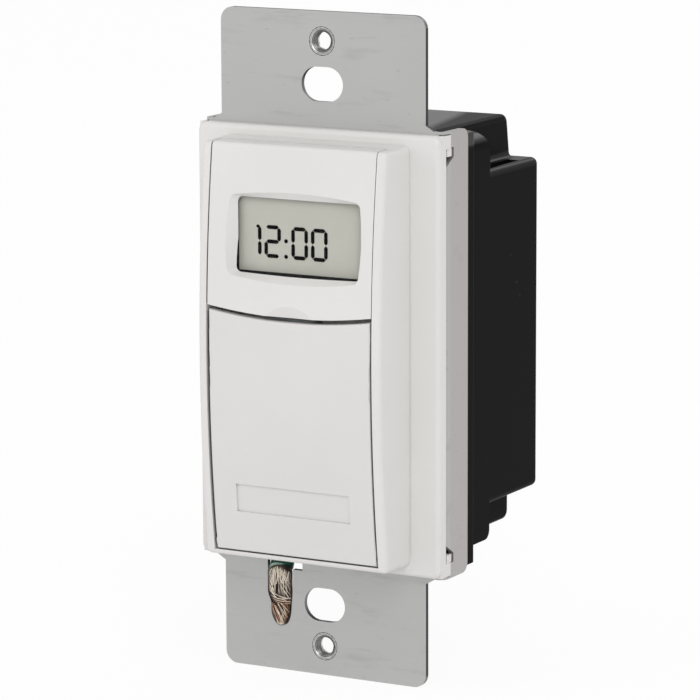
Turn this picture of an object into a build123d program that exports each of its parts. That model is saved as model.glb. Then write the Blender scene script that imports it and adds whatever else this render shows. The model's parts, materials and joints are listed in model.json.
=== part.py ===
from build123d import *
import math
import os

# In-wall timer light switch. Millimetres. X is the width, Z is up, and the front faces -Y.
# The origin is the centre of the mounting screws on the front face of the steel strap.

# General clearances and small features
CUT_OVERRUN = 1.0
RUNNING_GAP = 0.2
SEAT_GAP = 0.1
SHAFT_GAP = 0.05

# Mounting strap
STRAP_THICKNESS = 0.9
STRAP_BODY_LENGTH = 70.6
STRAP_BODY_WIDTH = 43.0
STRAP_END_MARGIN = 4.68
TAB_INSET = 3.3
TAB_CORNER_RADIUS = 2.1
GUSSET_WIDTH = 1.5
GUSSET_HEIGHT = 0.9
STRAP_BEND_RADIUS = 0.5
FLANGE_DEPTH = 7.9
FLANGE_CORNER_RADIUS = 1.6
DEVICE_SCREW_SPACING = 83.34
PLATE_SCREW_OFFSET = 6.75
OVAL_WIDTH = 7.4
OVAL_HEIGHT = 5.44
TAPPED_RADIUS = 1.42
COLLAR_RADIUS = 2.3
COLLAR_LENGTH = 0.8
COUNTERSINK_RADIUS = 1.95
COUNTERSINK_DEPTH = 0.35
STRAP_OPENING_WIDTH = 30.0
STRAP_OPENING_TOP = 27.0
STRAP_OPENING_BOTTOM = -24.3
STRAP_OPENING_RADIUS = 1.5
WINDOW_SPAN = 3.35
WINDOW_SLANT = 1.9
WINDOW_DEPTH = 3.1

# Front cover
COVER_SIDE_OVERHANG = 0.1
COVER_END_INSET = 0.45
COVER_PROUD = 1.9
COVER_CORNER_RADIUS = 1.4
COVER_EDGE_RADIUS = 0.8
COVER_LIP_WIDTH = 0.5
COVER_LIP_DEPTH = 0.35
COVER_LEG_HEIGHT = 2.15
COVER_LEG_WIDTH = 0.85
COVER_LEG_DEPTH = 1.95
HOOK_HEIGHT = 1.25
HOOK_FRONT = 0.95
HOOK_DEPTH = 1.5
HOOK_WIDTH = 0.7

# Nose: the raised part, crowned about a long horizontal axis
NOSE_WIDTH = 33.0
NOSE_HEIGHT = 66.4
NOSE_PROUD = 11.3
NOSE_CROWN_RADIUS = 250.0
NOSE_DRAFT = 1.6
NOSE_CORNER_RADIUS = 1.0
NOSE_EDGE_RADIUS = 0.7
NOSE_SIDE_WALL = 1.75
NOSE_END_WALL = 1.05
TOP_WALL_HEIGHT = 3.95

# Faceplate: display bezel above, button deck below
FACEPLATE_GAP = 0.18
FACEPLATE_SUNK = 0.12
SKIN_THICKNESS = 1.3
DECK_FRONT = -6.4
DECK_THICKNESS = 1.2
SHELF_BOTTOM = 8.0
SHELF_THICKNESS = 1.3
SIDE_WALL = 1.2
PARTING_MIDDLE = 6.35
PARTING_END = 7.5
BEZEL_WIDTH = 23.3
BEZEL_HEIGHT = 12.6
BEZEL_SIDE_BULGE = 0.6
BEZEL_SHIFT = 0.45
BEZEL_TOP_BULGE = 1.2
BEZEL_CORNER_RADIUS = 1.2
WINDOW_WIDTH = 21.8
WINDOW_HEIGHT = 11.8
WINDOW_CORNER_RADIUS = 0.9
WINDOW_SHIFT = 0.98
DISPLAY_CENTRE_HEIGHT = 18.8
SCOOP_RADIUS = 6.0
SCOOP_RISE = 2.1
SCOOP_DEPTH = 1.2
FACEPLATE_LUG_LENGTH = 4.0
FACEPLATE_LUG_REACH = 0.6
FACEPLATE_LUG_HEIGHT = 15.0
FACEPLATE_LUG_INSET = 0.15

# Access door
DOOR_SIDE_GAP = 0.4
DOOR_TOP_GAP = 0.75
DOOR_BOTTOM_GAP = 0.2
DOOR_SWING_RADIUS = 1.65
DOOR_THICKNESS = 1.5
DOOR_EDGE_RADIUS = 0.25
KNUCKLE_RADIUS = 1.15
KNUCKLE_RISE = 1.3
PIN_RADIUS = 0.6
PIN_BITE = 0.9
PLAQUE_WIDTH = 20.3
PLAQUE_HEIGHT = 4.5
PLAQUE_CENTRE_HEIGHT = -23.2
PLAQUE_SUNK = 0.3

# Buttons
BUTTON_PROUD = 1.8
BUTTON_FLANGE = 0.7
BUTTON_FLANGE_THICKNESS = 0.6
BUTTON_TRAVEL = 0.5
BUTTON_EDGE_RADIUS = 0.3
BUTTON_CORNER_RADIUS = 1.3
ON_OFF_WIDTH = 13.0
ON_OFF_HEIGHT = 4.2
ON_OFF_PLACE = (-3.0, 3.7)
SMALL_BUTTON_WIDTH = 6.6
SMALL_BUTTON_HEIGHT = 3.8
SMALL_BUTTON_ROW = -1.85
SMALL_BUTTON_PITCH = 8.8
RESET_RADIUS = 1.1
RESET_SUNK = 0.2
RESET_PLACE = (9.3, 3.7)
DOME_RADIUS = 1.7
RESET_DOME_RADIUS = 0.9
DOME_HEIGHT = 0.45
MAT_THICKNESS = 0.5
MAT_MARGIN = 0.3
MAT_TOP = 7.6

# Battery and its bayonet cap
CELL_RADIUS = 10.0
CELL_THICKNESS = 2.5
BATTERY_HEIGHT = -18.0
CAP_RADIUS = 10.9
CAP_PROUD = 0.5
CAP_FLOOR = 0.85
LUG_REACH = 1.0
LUG_THICKNESS = 0.45
LUG_ANGLE = 24.0
LUG_ENTRY_SHARE = 1.2
LUG_COUNT = 3
CAP_TURN = 45.0
COIN_SLOT_LENGTH = 13.0
COIN_SLOT_WIDTH = 1.7
COIN_SLOT_DEPTH = 0.8
WELL_WALL = 0.8
CONTACT_THICKNESS = 0.25
CONTACT_SPRING_RADIUS = 3.2
CONTACT_ARM_WIDTH = 3.0

# Display stack
LENS_HEIGHT = 13.8
LENS_THICKNESS = 0.6
GLASS_WIDTH = 24.4
GLASS_HEIGHT = 16.2
GLASS_LEDGE = 2.0
GLASS_PLY = 1.0
HOLDER_WALL = 0.7
HOLDER_SHELF = 1.1
HOLDER_SHELF_THICKNESS = 0.8
STRIP_WIDTH = 22.0
STRIP_THICKNESS = 1.4

# Display board and what it carries
BOARD_THICKNESS = 1.6
DISPLAY_BOARD_SIDE_GAP = 0.55
DISPLAY_BOARD_END_GAP = 0.45
BOARD_SCREW_SPACING = 20.0
BOARD_SCREW_TOP = 30.0
BOARD_SCREW_BOTTOM = -30.2
BOARD_SCREW_SHANK_RADIUS = 0.6
BOARD_SCREW_HEAD_RADIUS = 1.25
BOARD_SCREW_HEAD_HEIGHT = 0.8
BOARD_SCREW_BITE = 1.5
BOARD_BOSS_RADIUS = 1.5
CHIP_SIZE = 9.0
CHIP_THICKNESS = 1.2
CHIP_PLACE = (3.0, 8.0)
CHIP_LEG = 0.9
CRYSTAL_LENGTH = 7.0
CRYSTAL_RADIUS = 1.0
CRYSTAL_PLACE = (-8.0, 4.0)
HEADER_WIDTH = 15.2
HEADER_HEIGHT = 2.5
HEADER_CENTRE_HEIGHT = -13.0
HEADER_PIN_WIDTH = 0.64
HEADER_PITCH = 2.54
HEADER_PIN_COUNT = 6

# Insulating sheet
SHEET_THICKNESS = 0.4
SHEET_MARGIN = 0.5

# Rear housing, in steps from the strap backwards
HOUSING_WALL = 1.5
HOUSING_END_INSET = 0.9
COLLAR_STEP = 0.1
COLLAR_STEP_DEPTH = 10.8
SHOULDER_STEP = 0.4
SHOULDER_DEPTH = 16.5
SHOULDER_TOP = 34.0
SHOULDER_BOTTOM = -31.8
SHOULDER_ROUND = 3.2
TONGUE_STEP = 4.0
TONGUE_TOP = 34.7
TONGUE_BOTTOM = -31.8
TONGUE_DEPTH = 30.6
TONGUE_FOOT_DEPTH = 31.3
TONGUE_LEAN = 1.1
TONGUE_ROUND = 1.5
TONGUE_EDGE_RADIUS = 0.8
BLOCK_TOP = 27.6
BLOCK_BOTTOM = -26.4
BLOCK_DEPTH = 33.9
BLOCK_EDGE_RADIUS = 1.1
BLOCK_FOOT_FILLET = 0.9
COLLAR_EDGE_RADIUS = 0.9
REAR_PLATE_THICKNESS = 1.5
REAR_PLATE_LEDGE = 0.6
REAR_PLATE_RIM = 1.6
POCKET_RIM = 0.9
POCKET_DEPTH = 1.5
POCKET_LENGTH = 11.6
POCKET_RIB = 0.3
POCKET_RIB_COUNT = 2
HOUSING_SCREW_INSET = 2.9
HOUSING_SCREW_TOP = 30.4
HOUSING_SCREW_BOTTOM = -28.6
WELL_RADIUS = 2.15
WELL_SEAT = 6.0
BOSS_RADIUS = 2.95
SCREW_SHANK_RADIUS = 1.2
SCREW_HEAD_RADIUS = 2.0
SCREW_HEAD_HEIGHT = 1.7
SCREW_END_INSET = 0.1
DRIVE_WIDTH = 0.5
DRIVE_DEPTH = 0.6
DRIVE_SHARE = 1.3
LEAD_HOLE_RADIUS = 2.2
LEAD_PITCH = 8.0
LEAD_COUNT = 4
LEAD_HEIGHT = -19.5
BUSH_BORE = 1.5
BUSH_LIP = 0.7
BUSH_LIP_THICKNESS = 0.6
POST_SIZE = 2.6
POST_HEIGHTS = (-20.0, 20.0)
BOARD_CATCH_REACH = 0.5
BOARD_CATCH_DEPTH = 0.7

# Main board and what it carries
MAIN_BOARD_FRONT = 8.6
MAIN_BOARD_SIDE_GAP = 1.0
MAIN_BOARD_TOP = 32.4
MAIN_BOARD_BOTTOM = -30.0
RELAY_PLACE = (0.0, 11.0)
RELAY_WIDTH = 21.0
RELAY_HEIGHT = 16.0
RELAY_BASE_THICKNESS = 2.0
RELAY_COVER_WALL = 0.8
RELAY_COVER_DEPTH = 17.4
YOKE_THICKNESS = 1.2
YOKE_WIDTH = 6.0
CORE_RADIUS = 2.3
CORE_OFFSET = -0.2
BOBBIN_WALL = 0.6
BOBBIN_FLANGE_RADIUS = 5.5
BOBBIN_FLANGE = 0.8
BOBBIN_LENGTH = 10.5
COIL_RADIUS = 5.1
ARMATURE_THICKNESS = 1.2
ARMATURE_LENGTH = 14.2
ARMATURE_WIDTH = 8.0
ARMATURE_AIR_GAP = 0.55
ARMATURE_KNUCKLE = 0.3
CONTACT_RADIUS = 1.1
CONTACT_HEIGHT = 0.5
CONTACT_SPRING_THICKNESS = 0.25
CONTACT_SPRING_REACH = 3.2
CONTACT_GAP = 0.65
CONTACT_POST_WIDTH = 1.3
CAPACITOR_SIZE = (17.0, 11.5, 7.5)
CAPACITOR_PLACE_SHARE = -0.27
CAPACITOR_ROW = -5.0
ELECTROLYTIC_RADIUS = 5.0
ELECTROLYTIC_HEIGHT = 13.0
ELECTROLYTIC_PLACE_SHARE = -0.59
ELECTROLYTIC_ROW = -16.5
VARISTOR_RADIUS = 5.0
VARISTOR_THICKNESS = 3.6
VARISTOR_PLACE_SHARE = 0.51
VARISTOR_ROW = -17.0
PART_LEG_RADIUS = 0.4
PART_LEG_LENGTH = 1.6
LEG_SPREAD_SHARE = 0.75
FUSE_RADIUS = 1.7
FUSE_LENGTH = 9.0
FUSE_CAP_LENGTH = 1.6
FUSE_PLACE = (0.0, -23.6)
BRIDGE_SIZE = (6.5, 2.6, 8.0)
BRIDGE_PLACE = (0.0, -16.5)
CHOKE_RADIUS = 4.2
CHOKE_HEIGHT = 9.0
CHOKE_PLACE_SHARE = 0.65
CHOKE_ROW = -4.0
CHOKE_FLANGE = 1.0
CHOKE_INSET = 0.6
RESISTOR_RADIUS = 1.5
RESISTOR_LENGTH = 8.0
RESISTOR_PLACE = (-2.0, 24.0)
TERMINAL_WIDTH_SHARE = 0.64
TERMINAL_THICKNESS = 0.8
TERMINAL_HEIGHT = 5.5
TERMINAL_ROW = -26.6
TERMINAL_MARGIN = 0.45

# Earth wire
NOTCH_INSET = 7.8
NOTCH_WIDTH = 6.4
NOTCH_TOP = -33.2
NOTCH_BOTTOM = -36.5
WIRE_SLOT_WIDTH = 4.6
WIRE_SLOT_MARGIN = 7.2
INSULATION_WIDTH = 4.1
INSULATION_THICKNESS = 2.6
INSULATION_CUT = -36.5
WIRE_SLANT = 42.0
WIRE_BACK = 3.6
WIRE_LEAN = 0.8
WIRE_BEND = 2.2
WIRE_INNER_END = -27.0
STRAND_THICKNESS = 1.9
STRAND_PROUD = 0.7
STRAND_SIDE_GAP = 0.1
STRAND_TOP = -35.6
STRAND_EDGE_SHARES = ((-0.68, 0.68, 0.0), (-1.0, 1.0, 0.12), (-1.0, 1.0, 0.3), (-0.96, 0.97, 0.52),
                      (-0.74, 0.91, 0.64), (-0.72, 0.86, 0.78), (-0.54, 0.7, 0.91))
STRAND_SLOT_SHARE = 0.2
GROUND_BUSH_WALL = 0.5
GROUND_BUSH_LIP = 0.4
GROUND_BUSH_LIP_THICKNESS = 0.45
GROUND_BUSH_LENGTH = 1.7
GROUND_TERMINAL_WIDTH = 4.2
GROUND_TERMINAL_HEIGHT = 3.6

# Derived places
PLATE_SCREW_SPACING = DEVICE_SCREW_SPACING + 2 * PLATE_SCREW_OFFSET
STRAP_LENGTH = PLATE_SCREW_SPACING + 2 * STRAP_END_MARGIN
TAB_WIDTH = STRAP_BODY_WIDTH - 2 * TAB_INSET
BODY_HALF = STRAP_BODY_WIDTH / 2
BODY_TOP = STRAP_BODY_LENGTH / 2
COVER_WIDTH = STRAP_BODY_WIDTH + 2 * COVER_SIDE_OVERHANG
COVER_HEIGHT = STRAP_BODY_LENGTH - 2 * COVER_END_INSET
COVER_HALF = COVER_WIDTH / 2
FLANGE_INNER = BODY_HALF - STRAP_THICKNESS
NOSE_CENTRE_DEPTH = NOSE_CROWN_RADIUS - NOSE_PROUD
OPENING_HALF = NOSE_WIDTH / 2 - NOSE_SIDE_WALL
OPENING_TOP = NOSE_HEIGHT / 2 - NOSE_END_WALL
TOP_WALL_FRONT = -COVER_PROUD - TOP_WALL_HEIGHT
DECK_BACK = DECK_FRONT + DECK_THICKNESS
FLANGE_FRONT = DECK_BACK + RUNNING_GAP
FLANGE_BACK = FLANGE_FRONT + BUTTON_FLANGE_THICKNESS
DOME_FRONT = FLANGE_BACK + BUTTON_TRAVEL + SHAFT_GAP
MAT_FRONT = DOME_FRONT + DOME_HEIGHT
DISPLAY_BOARD_FRONT = MAT_FRONT + MAT_THICKNESS
DISPLAY_BOARD_BACK = DISPLAY_BOARD_FRONT + BOARD_THICKNESS
DISPLAY_BOARD_HALF = OPENING_HALF - DISPLAY_BOARD_SIDE_GAP
DISPLAY_BOARD_TOP = OPENING_TOP - DISPLAY_BOARD_END_GAP
MAIN_BOARD_BACK = MAIN_BOARD_FRONT + BOARD_THICKNESS
SHEET_BACK = STRAP_THICKNESS + SHEET_THICKNESS
FACEPLATE_HALF = OPENING_HALF - FACEPLATE_GAP
LENS_WIDTH = 2 * (FACEPLATE_HALF - SIDE_WALL - 2 * SEAT_GAP - WINDOW_SHIFT)
DOOR_HALF = OPENING_HALF - DOOR_SIDE_GAP
DOOR_BOTTOM = DOOR_BOTTOM_GAP - OPENING_TOP
PIN_HEIGHT = DOOR_BOTTOM + KNUCKLE_RISE
HOUSING_TOP = BODY_TOP - HOUSING_END_INSET
COLLAR_HALF = BODY_HALF - COLLAR_STEP
SHOULDER_HALF = COLLAR_HALF - SHOULDER_STEP
TONGUE_HALF = SHOULDER_HALF - TONGUE_STEP
HOUSING_SCREW_SPACING = 2 * (TONGUE_HALF - HOUSING_SCREW_INSET)
HOUSING_FRONT_HALF = FLANGE_INNER - SEAT_GAP
HOUSING_INNER_HALF = HOUSING_FRONT_HALF - HOUSING_WALL
MAIN_BOARD_HALF = SHOULDER_HALF - HOUSING_WALL - MAIN_BOARD_SIDE_GAP
REAR_PLATE_HALF = SHOULDER_HALF - REAR_PLATE_RIM
REAR_PLATE_TOP = BLOCK_TOP - REAR_PLATE_RIM
REAR_PLATE_BOTTOM = BLOCK_BOTTOM + REAR_PLATE_RIM
REAR_PLATE_FRONT = BLOCK_DEPTH - REAR_PLATE_THICKNESS
TERMINAL_PITCH = (HOUSING_SCREW_SPACING - 2 * BOSS_RADIUS - 2 * TERMINAL_MARGIN) / LEAD_COUNT
WIRE_SLOT_BOTTOM = WIRE_SLOT_MARGIN - STRAP_LENGTH / 2
NOTCH_LEFT = NOTCH_INSET - TAB_WIDTH / 2
WIRE_X = NOTCH_LEFT + WIRE_SLOT_WIDTH / 2
WIRE_INNER_X = WIRE_X - WIRE_LEAN
STRAND_HALF = WIRE_SLOT_WIDTH / 2 - STRAND_SIDE_GAP
STRAND_TIP = WIRE_SLOT_BOTTOM + STRAND_SIDE_GAP
WELL_INNER_RADIUS = CAP_RADIUS + LUG_REACH + RUNNING_GAP


def crown_front(height, sunk=0):
    """The crowned surface's place along Y at a height, sunk below the nose's own surface."""
    return NOSE_CENTRE_DEPTH - math.sqrt((NOSE_CROWN_RADIUS - sunk) ** 2 - height ** 2)


PIN_Y = crown_front(PIN_HEIGHT, FACEPLATE_SUNK) + KNUCKLE_RADIUS + SHAFT_GAP
WINDOW_BACK = crown_front(DISPLAY_CENTRE_HEIGHT) + SKIN_THICKNESS
LENS_FRONT = WINDOW_BACK + SEAT_GAP
LENS_BACK = LENS_FRONT + LENS_THICKNESS
GLASS_FRONT = LENS_BACK + SEAT_GAP
GLASS_BACK = GLASS_FRONT + GLASS_PLY + GLASS_PLY


def block(xs, ys, zs):
    """A box between two places along each axis."""
    centre = ((xs[0] + xs[1]) / 2, (ys[0] + ys[1]) / 2, (zs[0] + zs[1]) / 2)
    return Pos(*centre) * Box(abs(xs[1] - xs[0]), abs(ys[1] - ys[0]), abs(zs[1] - zs[0]))


def rod_x(place, radius, xs):
    """A cylinder along X at a place (y, z)."""
    middle = (xs[0] + xs[1]) / 2
    return Pos(middle, place[0], place[1]) * Rot(0, 90, 0) * Cylinder(radius, abs(xs[1] - xs[0]))


def rod_y(place, radius, ys):
    """A cylinder along Y at a place (x, z)."""
    middle = (ys[0] + ys[1]) / 2
    return Pos(place[0], middle, place[1]) * Rot(90, 0, 0) * Cylinder(radius, abs(ys[1] - ys[0]))


def rod_z(place, radius, zs):
    """A cylinder along Z at a place (x, y)."""
    return Pos(place[0], place[1], (zs[0] + zs[1]) / 2) * Cylinder(radius, abs(zs[1] - zs[0]))


def front_plane(y):
    """A plane facing the front, whose sketch coordinates are the object's X and Z."""
    return Plane(origin=(0, y, 0), x_dir=(1, 0, 0), z_dir=(0, -1, 0))


def prism(sketch, ys, taper=0):
    """A sketch in X and Z, extruded forwards from its rear place to its front place."""
    back, front = max(ys), min(ys)
    return extrude(front_plane(back) * sketch, amount=back - front, taper=taper)


def side_prism(points, xs):
    """An outline in Y and Z, extruded along X."""
    plane = Plane(origin=(min(xs), 0, 0), x_dir=(0, 1, 0), z_dir=(1, 0, 0))
    return extrude(plane * make_face(Polyline(*points, close=True)), amount=abs(xs[1] - xs[0]))


def crown_body(sunk=0):
    """Everything behind the crowned surface."""
    reach = STRAP_LENGTH / 2
    return rod_x((NOSE_CENTRE_DEPTH, 0), NOSE_CROWN_RADIUS - sunk, (-reach, reach))


def mirrored(solid):
    """The solid and its mirror image in the plane X = 0."""
    return [solid, mirror(solid, Plane.YZ)]


def quartered(solid):
    """The solid in all four corners."""
    both = mirrored(solid)
    return both + [mirror(one, Plane.XY) for one in both]


def mounting_strap():
    """Bent sheet with tabs, side flanges, windows for the cover's hooks, slots, tapped holes and a wire slot."""
    tab = prism(RectangleRounded(TAB_WIDTH, STRAP_LENGTH, TAB_CORNER_RADIUS), (0, STRAP_THICKNESS))
    strap = block((-BODY_HALF, BODY_HALF), (0, STRAP_THICKNESS), (-BODY_TOP, BODY_TOP))
    for flange in mirrored(block((FLANGE_INNER, BODY_HALF), (0, FLANGE_DEPTH), (-BODY_TOP, BODY_TOP))):
        strap += flange
    rear = strap.edges().filter_by(Axis.X).group_by(Axis.Y)[-1]
    strap = fillet(rear, FLANGE_CORNER_RADIUS)
    upright = strap.edges().filter_by(Axis.Z)
    outer = [e for e in upright if abs(e.center().Y) < SEAT_GAP and abs(e.center().X) > FLANGE_INNER]
    strap = fillet(outer, STRAP_BEND_RADIUS + STRAP_THICKNESS)
    upright = strap.edges().filter_by(Axis.Z)
    inner = [e for e in upright if abs(e.center().Y - STRAP_THICKNESS) < SEAT_GAP
             and abs(abs(e.center().X) - FLANGE_INNER) < SEAT_GAP]
    strap = fillet(inner, STRAP_BEND_RADIUS)
    strap += tab
    for gusset in quartered(tab_gusset()):
        strap += gusset
    for corner in quartered(corner_cut()):
        strap -= corner
    strap -= prism(Pos(0, (STRAP_OPENING_TOP + STRAP_OPENING_BOTTOM) / 2)
                   * RectangleRounded(STRAP_OPENING_WIDTH, STRAP_OPENING_TOP - STRAP_OPENING_BOTTOM,
                                      STRAP_OPENING_RADIUS), (-CUT_OVERRUN, STRAP_THICKNESS + CUT_OVERRUN))
    for sign in (-1, 1):
        strap -= prism(Pos(0, sign * DEVICE_SCREW_SPACING / 2) * SlotOverall(OVAL_WIDTH, OVAL_HEIGHT),
                       (-CUT_OVERRUN, STRAP_THICKNESS + CUT_OVERRUN))
        hole = (0, sign * PLATE_SCREW_SPACING / 2)
        strap += rod_y(hole, COLLAR_RADIUS, (0, STRAP_THICKNESS + COLLAR_LENGTH))
        strap -= rod_y(hole, TAPPED_RADIUS, (-CUT_OVERRUN, STRAP_THICKNESS + COLLAR_LENGTH + CUT_OVERRUN))
        strap -= (Pos(0, COUNTERSINK_DEPTH / 2, hole[1]) * Rot(90, 0, 0)
                  * Cone(TAPPED_RADIUS, COUNTERSINK_RADIUS, COUNTERSINK_DEPTH))
    for place in housing_screw_places():
        strap -= rod_y(place, SCREW_SHANK_RADIUS + SHAFT_GAP / 2, (-CUT_OVERRUN, STRAP_THICKNESS + CUT_OVERRUN))
    strap -= block((NOTCH_LEFT, NOTCH_LEFT + NOTCH_WIDTH), (-CUT_OVERRUN, STRAP_THICKNESS + CUT_OVERRUN),
                   (NOTCH_BOTTOM, NOTCH_TOP))
    slot_low = STRAND_TOP - STRAND_SLOT_SHARE * (STRAND_TOP - STRAND_TIP)
    strap -= block((WIRE_X - WIRE_SLOT_WIDTH / 2, WIRE_X + WIRE_SLOT_WIDTH / 2),
                   (-CUT_OVERRUN, STRAP_THICKNESS + CUT_OVERRUN), (slot_low, NOTCH_TOP))
    return strap - prism(strand_outline(STRAND_SIDE_GAP), (-CUT_OVERRUN, STRAP_THICKNESS + CUT_OVERRUN))


def tab_gusset():
    """Slanted web in the upper right corner between tab and body."""
    edge = TAB_WIDTH / 2
    high = BODY_TOP + GUSSET_HEIGHT
    outline = Polyline((edge, BODY_TOP), (edge, high), (edge + GUSSET_WIDTH, BODY_TOP), close=True)
    return prism(make_face(outline), (0, STRAP_THICKNESS))


def corner_cut():
    """What the strap's upper right corner leaves out for the cover's leg, and the window for its hook."""
    top = COVER_HEIGHT / 2 - COVER_LEG_HEIGHT + SEAT_GAP
    over = COVER_HEIGHT / 2 + SEAT_GAP
    leg_back = COVER_LEG_DEPTH + SEAT_GAP
    low = top - WINDOW_SPAN
    outline = [(-CUT_OVERRUN, low), (0, low), (WINDOW_DEPTH, low + WINDOW_SLANT), (WINDOW_DEPTH, top),
               (leg_back, top), (leg_back, over), (-CUT_OVERRUN, over)]
    inner = COVER_HALF - COVER_LEG_WIDTH - RUNNING_GAP
    return side_prism(outline, (inner, BODY_HALF + CUT_OVERRUN))


def housing_screw_places():
    """The four screws that hold the housing to the strap, as (x, z)."""
    half = HOUSING_SCREW_SPACING / 2
    return [(x, z) for z in (HOUSING_SCREW_TOP, HOUSING_SCREW_BOTTOM) for x in (-half, half)]


def board_screw_places():
    """The four screws that hold the display board to the faceplate, as (x, z)."""
    half = BOARD_SCREW_SPACING / 2
    return [(x, z) for z in (BOARD_SCREW_TOP, BOARD_SCREW_BOTTOM) for x in (-half, half)]


def front_cover():
    """Flat rim, crowned nose with its opening, side lips, and a leg with a snap hook at each corner."""
    rim = prism(RectangleRounded(COVER_WIDTH, COVER_HEIGHT, COVER_CORNER_RADIUS), (-COVER_PROUD, 0))
    rim = fillet(rim.faces().sort_by(Axis.Y)[0].edges(), COVER_EDGE_RADIUS)
    cover = rim + nose_form()
    cover -= block((-OPENING_HALF, OPENING_HALF), (-NOSE_PROUD - CUT_OVERRUN, CUT_OVERRUN),
                   (-OPENING_TOP, OPENING_TOP))
    cover -= block((-OPENING_HALF, OPENING_HALF), (-NOSE_PROUD - CUT_OVERRUN, TOP_WALL_FRONT),
                   (OPENING_TOP - CUT_OVERRUN, NOSE_HEIGHT / 2 + CUT_OVERRUN))
    leg_low = COVER_HEIGHT / 2 - COVER_LEG_HEIGHT
    lip = block((COVER_HALF - COVER_LIP_WIDTH, COVER_HALF), (-COVER_PROUD / 2, COVER_LIP_DEPTH),
                (-leg_low, leg_low))
    for one in mirrored(lip):
        cover += one
    leg = block((COVER_HALF - COVER_LEG_WIDTH, COVER_HALF), (-COVER_PROUD / 2, COVER_LEG_DEPTH),
                (leg_low, COVER_HEIGHT / 2 - SHAFT_GAP))
    leg += block((COVER_HALF - COVER_LEG_WIDTH, COVER_HALF - COVER_LEG_WIDTH + HOOK_WIDTH),
                 (HOOK_FRONT, HOOK_FRONT + HOOK_DEPTH), (leg_low - HOOK_HEIGHT, leg_low))
    for one in quartered(leg):
        cover += one
    for pocket in quartered(faceplate_lug(SEAT_GAP)):
        cover -= pocket
    pin_reach = OPENING_HALF + PIN_BITE
    cover -= rod_x((PIN_Y, PIN_HEIGHT), PIN_RADIUS + SHAFT_GAP / 2, (-pin_reach, pin_reach))
    return cover - rod_x((PIN_Y, PIN_HEIGHT), DOOR_SWING_RADIUS, (-OPENING_HALF, OPENING_HALF))


def nose_form(sunk=0):
    """The nose's outside with drafted walls, crowned front and rounded edges, sunk below the crown."""
    form = prism(RectangleRounded(NOSE_WIDTH, NOSE_HEIGHT, NOSE_CORNER_RADIUS),
                 (-NOSE_PROUD - CUT_OVERRUN, -COVER_PROUD / 2), taper=NOSE_DRAFT)
    form &= crown_body(sunk)
    return fillet(form.faces().sort_by(Axis.Y)[0].edges(), NOSE_EDGE_RADIUS)


def faceplate_lug(margin):
    """Snap lug on the edge of the deck, or its pocket in the nose's wall when grown by a margin."""
    half = FACEPLATE_LUG_LENGTH / 2 + margin
    outer = FACEPLATE_HALF + FACEPLATE_LUG_REACH + margin
    return block((FACEPLATE_HALF - SIDE_WALL / 2, outer),
                 (DECK_FRONT + FACEPLATE_LUG_INSET - margin, DECK_BACK - FACEPLATE_LUG_INSET + margin),
                 (FACEPLATE_LUG_HEIGHT - half, FACEPLATE_LUG_HEIGHT + half))


def parting_line(drop, half):
    """The arc between faceplate and door, lowered by a drop and reaching a half width to each side."""
    return ThreePointArc((-half, PARTING_END - drop), (0, PARTING_MIDDLE - drop), (half, PARTING_END - drop))


def barrel(width, height, side_bulge, top_bulge, corner):
    """A rectangle with outward curved sides and rounded corners."""
    x, z = width / 2, height / 2
    top = ThreePointArc((-x, z), (0, z + top_bulge), (x, z))
    right = ThreePointArc((x, z), (x + side_bulge, 0), (x, -z))
    bottom = ThreePointArc((x, -z), (0, -z - top_bulge), (-x, -z))
    left = ThreePointArc((-x, -z), (-x - side_bulge, 0), (-x, z))
    face = make_face([top, right, bottom, left])
    return fillet(face.vertices(), corner)


def display_cut():
    """The bevel from the crown down to the display window, the window, and the lens's and the holder's room."""
    height = DISPLAY_CENTRE_HEIGHT
    lean = math.degrees(math.asin(height / NOSE_CROWN_RADIUS))
    crown_plane = Plane(origin=(0, crown_front(height) - SEAT_GAP, height), x_dir=(1, 0, 0), z_dir=(0, -1, 0))
    bezel = barrel(BEZEL_WIDTH, BEZEL_HEIGHT, BEZEL_SIDE_BULGE, BEZEL_TOP_BULGE, BEZEL_CORNER_RADIUS)
    outer = crown_plane * Pos(BEZEL_SHIFT, 0, 0) * Rot(-lean, 0, 0) * bezel
    window = barrel(WINDOW_WIDTH, WINDOW_HEIGHT, SHAFT_GAP, SHAFT_GAP, WINDOW_CORNER_RADIUS)
    inner = front_plane(LENS_FRONT - SHAFT_GAP) * Pos(WINDOW_SHIFT, height) * window
    bevel = loft([outer.faces()[0], inner.faces()[0]], ruled=True)
    throat = prism(Pos(WINDOW_SHIFT, height) * RectangleRounded(WINDOW_WIDTH, WINDOW_HEIGHT, WINDOW_CORNER_RADIUS),
                   (LENS_FRONT - SEAT_GAP, LENS_BACK))
    lens_room = centred_block(LENS_WIDTH + 2 * SEAT_GAP, LENS_HEIGHT + 2 * SEAT_GAP, height,
                              (LENS_FRONT, DECK_FRONT))
    lens_room = Pos(WINDOW_SHIFT, 0, 0) * lens_room
    margin = 2 * (SEAT_GAP + HOLDER_WALL + SEAT_GAP)
    holder_room = centred_block(GLASS_WIDTH + margin, GLASS_HEIGHT + margin, height, (LENS_BACK, DECK_FRONT))
    return [bevel, throat, lens_room, holder_room]


def thumb_scoop():
    """A ball that hollows a half-moon over the door's upper edge."""
    height = PARTING_MIDDLE + SCOOP_RISE - SCOOP_RADIUS
    ball = (SCOOP_RADIUS ** 2 + SCOOP_DEPTH ** 2) / (2 * SCOOP_DEPTH)
    return Pos(0, crown_front(height, FACEPLATE_SUNK) + SCOOP_DEPTH - ball, height) * Sphere(ball)


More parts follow.
